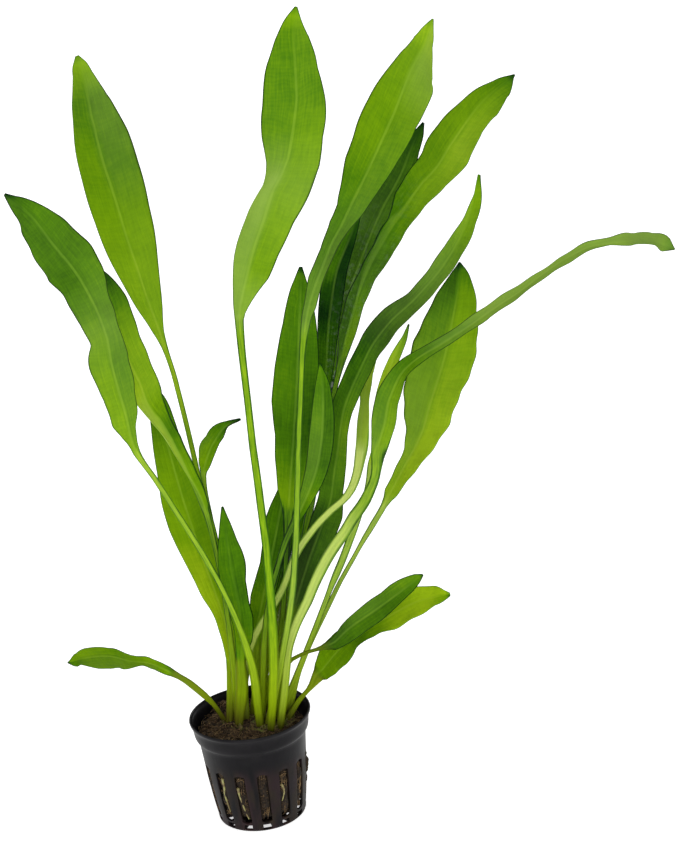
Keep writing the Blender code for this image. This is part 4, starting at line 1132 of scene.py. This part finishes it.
        "stalk": [(0, 0.15, 0), (1, 0.2, 0.03)],
    },
    "low_right_back_leaf": {
        "edges": [(0, 0, 1), (0.07, 0, 0.5), (0.12, 0, -0.3), (0.2, -1.5, 0.1), (0.3, -1.5, -2),
                  (0.36, 0, -1.9), (0.42, 0, -2.5), (0.5, 0, -2), (0.6, 0, -0.3), (0.8, 0, 0.6),
                  (0.9, 1.4, 1.3), (1, 0.2, 0.3)],
        "girth": 0.5,
        "ruffle": (0.6, 14),
        "tone": [(0, 0.9, 0.9), (0.4, 0.8, 0.75), (0.6, 1.05, 1.25), (0.85, 1.3, 1.25), (1, 1.2, 0.8)],
        "stalk": [(0, 0.25, 0.02), (1, 0.35, 0.05)],
    },
}
print("looks for", len(LOOKS), "leaves")

# %% [markdown]
# ### The leaf as a function of two parameters
#
# One parameter runs along the leaf and the other across it, from -1 at the left edge to 1 at the right. The
# line gives each place its centre, and three directions there: ahead, across and facing. The skin is then the
# centre moved sideways by the half width and forwards by a height, which holds the lift of the halves, the
# ruffle and the relief of the veins. A second sheet just behind it, with the midrib's ridge, closes the skin,
# so that the leaf has a real thickness and a back of its own.

# %% Work out a leaf's skin
FRONT = np.array([0.0, -0.94, 0.342])
ACROSS_POINTS = 33
STALK_STEP = 3.2
BLADE_STEP = 1.15
BLADE_FROM = 1.5
BLADE_BLEND = 1.0
BLADE_HALF_THICKNESS = 0.17
LEAST_HALF_WIDTH = 0.15
LEAST_SIDE = 0.12
BUCKLE_HEIGHT = 0.3
BUCKLE_LENGTH = 31.0
RIDGE_HEIGHT = 0.6
RIDGE_HALF_WIDTH = 0.75
GROOVE_DEPTH = 0.1
GROOVE_HALF_WIDTH = 0.45
SIDE_VEINS = (0.3, 0.57, 0.82)
SIDE_VEIN_HALF_WIDTH = 0.32
SIDE_VEIN_HEIGHT = 0.08
SIDE_VEIN_DEPTH = 0.02
STALK_FRONT = 0.62
STALK_BACK = 0.8
CHANNEL_DEPTH = 0.3
SHEATH_LENGTH = 30.0
SHEATH_SHARE = 0.3
BURIED = 3.8
GIRTH_LENGTH = 60.0


def look_at(rows, share, column):
    """One number of a leaf's look at shares of its length.

    Straight lines join its rows, and the first and the last row hold on beyond them.
    """
    table = np.array(rows, float)
    return np.interp(share, table[:, 0], table[:, column])


def look_of(name):
    """A leaf's look: the plain one with the leaf's own rows in place of the plain ones."""
    return {**PLAIN_LOOK, **LOOKS[name]}


def leaf_line(name, look):
    """The leaf's line: places, half widths, across, facing, lengths, shares of stalk and blade, how bladed.

    It starts a little below the solid's foot, in the soil. The half width is that of the stations, times a
    share that slims the stalk, times 1 + 0.3 * exp(-length / sheath), plus the swell. The stalk comes back to
    its full width over its last eighth, and flattens into the blade over its last twelfth.
    """
    turn, stalk, blade = LEAVES[name]
    stations = np.array(stalk + blade, float)
    first_step = stations[1] - stations[0]
    foot = stations[0] - first_step * BURIED / first_step[2]
    foot[3] = stations[0, 3]
    stations = np.concatenate([foot[None], stations])
    steps = np.linalg.norm(np.diff(stations[:, :3], axis=0), axis=1)
    length = steps.sum()
    blade_start = steps[: len(stalk) + 1].sum() / length
    stalk_count = math.ceil(blade_start * length / STALK_STEP)
    blade_count = math.ceil((1 - blade_start) * length / BLADE_STEP)
    shares = np.concatenate([
        np.linspace(0, blade_start, stalk_count, endpoint=False),
        np.linspace(blade_start, 1, blade_count),
    ])
    line = smooth_line(stations, shares)
    middle, half = line[:, :3], np.maximum(line[:, 3], LEAST_HALF_WIDTH)
    along = shares * length
    blade_share = np.clip((shares - blade_start) / (1 - blade_start), 0, 1)
    stalk_share = np.clip(shares / blade_start, 0, 1)
    slim = look["girth"] + (1 - look["girth"]) * np.exp(-along / GIRTH_LENGTH)
    half = half * np.where(blade_share > 0, 1, slim + (1 - slim) * np.clip(stalk_share * 8 - 7, 0, 1) ** 2)
    half = half * (1 + SHEATH_SHARE * np.exp(-along / SHEATH_LENGTH)) + look_at(look["swell"], shares, 1)
    ahead = unit(np.gradient(middle, axis=0))
    across = unit(np.cross(ahead, FRONT))
    facing = np.cross(across, ahead)
    middle = middle + across * look_at(look["sway"], shares, 1)[:, None]
    bladed = np.clip((half - BLADE_FROM) / BLADE_BLEND, 0, 1) * np.clip(stalk_share * 12 - 11, 0, 1)
    bladed = np.where(blade_share > 0.5, 1.0, bladed)
    angle = np.radians(np.interp(shares, [blade_start, 1], turn)) * np.clip(half / 2 - 0.8, 0, 1)
    across, facing = (
        across * np.cos(angle)[:, None] + facing * np.sin(angle)[:, None],
        facing * np.cos(angle)[:, None] - across * np.sin(angle)[:, None],
    )
    return middle, half, across, facing, along, stalk_share, blade_share, bladed


def leaf_skin(name, seed):
    """A leaf's skin and the numbers that its finish reads.

    Place = middle + across * x + facing * height, with x = v * half width + rib * (1 - v^2). The front's
    height is lift * |v|^1.8 * half + ruffle * |v|^2.6 * sine + soft buckles - grooves over the veins; the
    back's is that minus the thickness and a ridge under each vein. On the stalk both are half ellipses, with
    a channel in front.
    """
    look = look_of(name)
    middle, half, across, facing, along, stalk_share, u, bladed = leaf_line(name, look)
    draw = np.random.default_rng(seed)
    t = np.linspace(-1, 1, ACROSS_POINTS)[None, :]
    s = along[:, None]
    b = bladed[:, None]
    v = (1 - b) * np.sin(t * math.pi / 2) + b * t * (0.72 + 0.28 * t**2)
    size = np.abs(v)
    right = np.clip(v * 2.5 + 0.5, 0, 1)

    def sided(rows):
        left_number = look_at(rows, u, 1)[:, None]
        return left_number + (look_at(rows, u, 2)[:, None] - left_number) * right

    w = np.maximum(half[:, None] + sided(look["edges"]) * b, LEAST_SIDE)
    height_mm, wave_mm = look["ruffle"]
    phase = draw.uniform(0, 2 * math.pi, 4)
    drift = 1.2 * np.sin(s / (wave_mm * 1.7) + phase[0])
    wave = np.sin(2 * math.pi * s / wave_mm + drift + phase[1] + np.sign(v) * 0.9)
    ends = np.clip(u * 8, 0, 1)[:, None] * np.clip((1 - u) * 7, 0, 1)[:, None]
    ruffle = height_mm * wave * size**2.6 * ends
    buckle = BUCKLE_HEIGHT * np.sin(2 * math.pi * s / BUCKLE_LENGTH + phase[2]) * (1 - size)
    sheet = b * (sided(look["lift"]) * size**1.8 * w + ruffle + buckle)
    rib_x = look_at(look["rib"], u, 1)[:, None] * b * w
    x = v * w + rib_x * (1 - v**2)
    from_rib = size * w
    fade = np.clip(1.15 - u, 0.15, 1)[:, None]
    ridge = RIDGE_HEIGHT * np.exp(-((from_rib / RIDGE_HALF_WIDTH) ** 2)) * fade
    groove = GROOVE_DEPTH * np.exp(-((from_rib / GROOVE_HALF_WIDTH) ** 2)) * fade
    for vein in SIDE_VEINS:
        near = np.exp(-(((size - vein) * w / SIDE_VEIN_HALF_WIDTH) ** 2)) * ends
        ridge = ridge + SIDE_VEIN_HEIGHT * near
        groove = groove + SIDE_VEIN_DEPTH * near
    round_off = np.sqrt(np.clip(1 - v**2, 0, 1))
    leaf_half = BLADE_HALF_THICKNESS * np.clip((1 - size) * w / 0.5, 0, 1) ** 0.5
    closed_edge = np.clip((1 - size) * w / 0.8, 0, 1)
    channel = 1 - CHANNEL_DEPTH * np.exp(-((v / 0.4) ** 2))
    stalk_front = STALK_FRONT * w * round_off * channel
    stalk_back = STALK_BACK * w * round_off * (1 + 0.05 * np.cos(9 * v))
    front = sheet + b * (leaf_half - groove * closed_edge) + (1 - b) * stalk_front
    back = sheet - b * (leaf_half + ridge * closed_edge) - (1 - b) * stalk_back
    base = middle[:, None] + across[:, None] * x[..., None]
    front_skin = base + facing[:, None] * front[..., None]
    back_skin = base + facing[:, None] * back[..., None]
    green = np.clip(b * 2.5, 0, 1)
    # The tone carries painted shade and light, and the paleness carries painted sheen and highlights.
    numbers = {
        "tone": sided(look["tone"]) * green + look_at(look["stalk"], stalk_share, 1)[:, None] * (1 - green),
        "pale": sided(look["pale"]) * green + look_at(look["stalk"], stalk_share, 2)[:, None] * (1 - green),
        "across": v,
        "along": s,
        "half_mm": w,
        "bladed": green,
        "share": u[:, None],
        "vein": look["vein"],
        "wet": look["wet"] * np.clip(1.4 - 2.2 * u, 0, 1)[:, None],
        "stain": np.clip(1.25 - s / look["stain"], 0, 1),
    }
    full = {key: np.broadcast_to(value, v.shape) for key, value in numbers.items()}
    attributes = {key: np.concatenate([value, value[:, -2:0:-1]], axis=1) for key, value in full.items()}
    skin = np.concatenate([front_skin, back_skin[:, -2:0:-1]], axis=1)
    attributes["behind"] = np.broadcast_to(np.arange(skin.shape[1]) >= ACROSS_POINTS, skin.shape[:2])
    return skin * MM, attributes


middle, half, *_ = leaf_line("tall_centre_leaf", look_of("tall_centre_leaf"))
print("tall leaf:", len(middle), "rings, widest", round(2 * half.max(), 1), "mm")

# %% [markdown]
# ### The leaf's finish
#
# A blade has a soft sheen, and its colour is not one green: the veins are paler, the thin margin is darker, the
# cells between the cross veins puff up a little, and the back is greyer. Its green also carries painted shade
# and light, and greyish patches of painted sheen. A few leaves carry drops of water. The stalk is yellow-green
# with long streaks and painted shade on its sides, and turns olive brown where it enters the soil. All of it
# follows the leaf's own numbers, across and along, so the veins run with the outline however the leaf bends.

# %% Build the leaf's finish
GREENS = [
    (0.0, (0.0005, 0.014, 0.002)),
    (0.27, (0.013, 0.062, 0.0012)),
    (0.5, (0.060, 0.170, 0.0010)),
    (0.77, (0.165, 0.315, 0.0015)),
    (1.0, (0.29, 0.44, 0.006)),
]
TONE_SCALE = 1.3
CROSS_VEIN_STEP = 3.7


def finish_leaf():
    """The finish of a leaf: green by tone, with painted shade and light in it, a pale midrib, a darker thin
    margin, painted shade on the stalk's sides, greyish paleness with painted sheen, and relief in soft cells.

    Shade = tone + noise + side veins + midrib + cross veins - ripple - edge - tip, and it picks a green.
    """
    paint = Paint("leaf_green", roughness=0.5, specular=0.03)
    tone, pale, v, s, w, b, u, vein, wet, stain, behind = (
        paint.attribute(key)
        for key in (
            "tone", "pale", "across", "along", "half_mm", "bladed", "share", "vein", "wet", "stain", "behind"
        )
    )
    size = v.absolute()
    from_rib = size * w
    on_leaf = paint.node("ShaderNodeCombineXYZ", {}, {"X": v * w, "Y": s, "Z": 0.0})
    blotch = paint.noise(60, 3)
    mottle = paint.noise(300, 4)
    streak = paint.noise(1.5, 3, place=on_leaf, stretch=(1.0, 0.06, 1.0))
    cross = (s - from_rib * 0.3 + blotch * 9.0) * (2 * math.pi / CROSS_VEIN_STEP)
    ripple = cross.sine() * from_rib.ramp(0.3, 1.6) * b
    cross_vein = (ripple * 0.5 + 0.5) ** 6 * from_rib.ramp(0.4, 1.4) * b
    side_vein = 0.0
    for place in SIDE_VEINS:
        side_vein = side_vein + ((size - place).absolute() * w).ramp(0.3, 0.05)
    side_vein = side_vein * b * u.ramp(1.0, 0.9) * u.ramp(0.0, 0.12)
    midrib = from_rib.ramp(0.7, 0.2) * b * u.ramp(1.0, 0.7) * vein
    # Painted shade on the stalk's rounded sides, and a darker thin margin on the blade.
    margin_and_side_shade = ((1 - size) * w).ramp(0.5, 0.12) * b + size.ramp(0.45, 0.9) * (1 - b) * 1.05
    tip = u.ramp(0.965, 0.998)
    # The tone brings painted shade and light into the green.
    shade = tone + (blotch - 0.5) * 0.3 + (mottle - 0.5) * 0.16 + (streak - 0.5) * (0.3 * b + 1.1 * (1 - b))
    shade = shade + side_vein * 0.035 + midrib * 0.3 + cross_vein * 0.06
    shade = shade - ripple * 0.03 - margin_and_side_shade * 0.5 - tip * 0.3
    green = paint.node("ShaderNodeValToRGB", {"stops": GREENS}, {"Fac": shade / TONE_SCALE})
    # Paleness: painted sheen from the pale rows, with the truly paler midrib and back.
    bloom_and_sheen = (pale * (0.6 + blotch * 0.7) + midrib * 0.35 + behind * 0.25 * b) * (1 - margin_and_side_shade * 0.6)
    leafy = paint.blend(bloom_and_sheen.math("MINIMUM", 1.0) * 0.85, green, (0.25, 0.375, 0.07))
    # On the stalk the paleness is partly a painted highlight.
    stalk_pale = paint.blend(pale * (1 - margin_and_side_shade * 0.8), green, (0.60, 0.70, 0.20))
    living = paint.blend(b, stalk_pale, leafy)
    yellowed = paint.blend(s.ramp(75.0, 4.0) * (1 - b) * 0.6, living, (0.30, 0.40, 0.003))
    stained = stain * (0.5 + streak * 0.8)
    paint.feed(Base_Color=paint.blend(stained.math("MINIMUM", 1.0), yellowed, (0.075, 0.065, 0.008)))
    paint.feed(Roughness=0.42 + mottle * 0.16 + behind * 0.1)
    drops = paint.noise(420, 3).ramp(0.5, 0.58) * wet
    paint.feed(Coat_Weight=drops * 0.9)
    relief = ripple * 0.05 - side_vein * 0.04 + mottle * 0.08 + streak * (0.15 * (1 - b))
    paint.bump(relief + drops * 0.12, strength=0.8)
    return paint


leaf_paint = finish_leaf()
print("leaf finish has", len(leaf_paint.tree.nodes), "nodes")

# %% [markdown]
# ### Grow the leaves
#
# Each leaf takes the place of its own solid.

# %% Make every leaf
slot_of = {part["node"]: part["material_slot"] for part in frame["record"]["subparts"]}


def make_leaf(name, seed):
    """One leaf: its closed skin, with a flat cap at the foot and at the tip."""
    skin, attributes = leaf_skin(name, seed)
    leaf = new_piece(name + "_blade", skin, capped_faces(*skin.shape[:2]), leaf_paint, attributes)
    stand_for(leaf, slot_of[name], name)


for seed, name in enumerate(LEAVES):
    make_leaf(name, 100 + seed)

# %% [markdown]
# ## The stock
#
# The leaves come out of a short stock wrapped in the torn feet of older leaves. A low mound would look bare,
# so it is a lumpy dome with rings of small pointed scales round it, olive brown and greener in places.

# %% Make the stock
STOCK_CENTRE = np.array([3.5, 2.5])
STOCK_HALF_SIZE = np.array([15.5, 11.8])
STOCK_FOOT = 40.6
STOCK_HEIGHT = 2.3
SCALES = 44
SCALES_FOOT = 41.0


def stock_dome():
    """A lumpy dome over an oval: height = sqrt(1 - t^2.4) at a share t of the oval's size, plus lumps."""
    rows, columns = 26, 96
    t = np.linspace(0.03, 1, rows)[:, None]
    angle = np.linspace(0, 2 * math.pi, columns, endpoint=False)[None, :]
    x = STOCK_CENTRE[0] + STOCK_HALF_SIZE[0] * t * np.cos(angle)
    y = STOCK_CENTRE[1] + STOCK_HALF_SIZE[1] * t * np.sin(angle)
    z = STOCK_FOOT + STOCK_HEIGHT * np.sqrt(np.clip(1 - t**2.4, 0, 1)) * np.ones_like(angle)
    flat = np.stack([x, y, z], axis=-1)
    flat[..., 2] += (0.5 * lumps(flat, 5.0, 21) + 0.35 * lumps(flat, 2.2, 22)) * (1 - t**4)
    return flat * MM, capped_faces(rows, columns, inward=True)


def stock_scales(seed):
    """Torn sheaths: small pointed scales round the stock that lean outwards, each a bent thin sheet.

    Place = foot + up * height * t + outwards * (lean * t^2 + cup * (1 - x^2))
    + sideways * width * x * (1.02 - t^1.6).
    """
    draw = np.random.default_rng(seed)
    rows, columns = 7, 5
    t = np.linspace(0, 1, rows)[None, :, None]
    x = np.linspace(-1, 1, columns)[None, None, :]
    angle = (np.arange(SCALES) * 2.4 + draw.uniform(-0.3, 0.3, SCALES))[:, None, None]
    ring = draw.uniform(0.55, 1.0, SCALES)[:, None, None]
    tall = draw.uniform(2.0, 5.0, SCALES)[:, None, None]
    wide = draw.uniform(1.0, 2.3, SCALES)[:, None, None]
    lean = draw.uniform(0.2, 2.2, SCALES)[:, None, None]
    out = lean * t**2 + 0.5 * (1 - x**2)
    side = wide * x * (1.02 - t**1.6)
    cosine, sine = np.cos(angle), np.sin(angle)
    place_x = STOCK_CENTRE[0] + STOCK_HALF_SIZE[0] * ring * cosine + out * cosine - side * sine
    place_y = STOCK_CENTRE[1] + STOCK_HALF_SIZE[1] * ring * sine + out * sine + side * cosine
    place_z = SCALES_FOOT + tall * t + 0 * x + 0.25 * np.sin(5 * x + 3 * t + angle)
    sheet = np.stack(np.broadcast_arrays(place_x, place_y, place_z), axis=-1)
    one = grid_faces(rows, columns, closed=False).reshape(-1, 4)
    start = np.arange(SCALES)[:, None, None] * (rows * columns)
    return sheet * MM, (one[None] + start).reshape(-1, 4).tolist()


def finish_stock():
    """Old sheath tissue: olive brown with long fibres, and greener in places."""
    paint = Paint("crown", roughness=0.75, specular=0.3)
    fibre = paint.noise(700, 3, stretch=(1, 1, 0.2))
    patch = paint.noise(230, 3)
    brown = paint.blend(fibre.ramp(0.4, 0.65), (0.05, 0.034, 0.012), (0.19, 0.14, 0.05))
    paint.feed(Base_Color=paint.blend(patch.ramp(0.5, 0.66) * 0.7, brown, (0.13, 0.17, 0.02)))
    paint.feed(Roughness=0.6 + fibre * 0.3)
    paint.bump(fibre * 0.3 + patch * 0.3)
    return paint


stock_paint = finish_stock()
stock = new_piece("stock", *stock_dome(), stock_paint)
stand_for(stock, "crown", "crown")
scales = new_piece("stock_scales", *stock_scales(31), stock_paint)
thickness = scales.modifiers.new("thickness", "SOLIDIFY")
thickness.thickness = 0.3 * MM
thickness.offset = 0.0

# %% [markdown]
# ## Floor and light
#
# The plant stands on a white floor that runs out of the picture, in even light from large soft lamps: the
# strongest low in front, weaker ones from the upper left in front, from the right and from behind. Two low
# narrow ones, at the left and behind at the right, light the pot's sides. A white sky fills the shadows.

# %% Set the stage
FLOOR_GLOW = 0.6
FLOOR_REACH = 9.0
SKY_STRENGTH = 0.5
LAMPS = {
    "key": (-35, 45, 0.4, 50),
    "front": (5, 10, 1.5, 60),
    "side": (75, 30, 0.35, 50),
    "back": (170, 50, 0.25, 60),
    "left_strip": (-100, 12, 0.25, 25),
    "right_strip": (134, 12, 0.4, 10),
}


def make_floor():
    """A wide white floor that glows a little, like a light table."""
    paint = Paint("floor_white", roughness=0.9, specular=0.1)
    paint.shader.inputs["Base Color"].default_value = (0.9, 0.9, 0.9, 1.0)
    paint.shader.inputs["Emission Color"].default_value = (1.0, 1.0, 1.0, 1.0)
    paint.shader.inputs["Emission Strength"].default_value = FLOOR_GLOW
    corners = FLOOR_REACH * np.array([(-1, -1, 0), (1, -1, 0), (1, 1, 0), (-1, 1, 0)], float)
    mesh = bpy.data.meshes.new("floor")
    mesh.from_pydata(corners, [], [(0, 1, 2, 3)])
    mesh.materials.append(paint.material)
    floor = bpy.data.objects.new("floor", mesh)
    bpy.context.scene.collection.objects.link(floor)


def soft_light(name, turn, height, strength, spread):
    """A soft light from far away: its turn from the front to the right, its angle above level, its spread."""
    data = bpy.data.lights.new(name, "SUN")
    data.energy = strength
    data.angle = math.radians(spread)
    light = bpy.data.objects.new(name, data)
    turn, height = math.radians(turn), math.radians(height)
    toward = Vector((math.sin(turn) * math.cos(height), -math.cos(turn) * math.cos(height), math.sin(height)))
    light.rotation_euler = toward.to_track_quat("Z", "Y").to_euler()
    bpy.context.scene.collection.objects.link(light)


def white_sky(strength):
    """An even white sky."""
    world = bpy.data.worlds.new("sky")
    world.use_nodes = True
    world.node_tree.nodes["Background"].inputs["Color"].default_value = (1, 1, 1, 1)
    world.node_tree.nodes["Background"].inputs["Strength"].default_value = strength
    bpy.context.scene.world = world


make_floor()
for name, lamp in LAMPS.items():
    soft_light(name, *lamp)
white_sky(SKY_STRENGTH)
bpy.context.scene.view_settings.view_transform = "Standard"
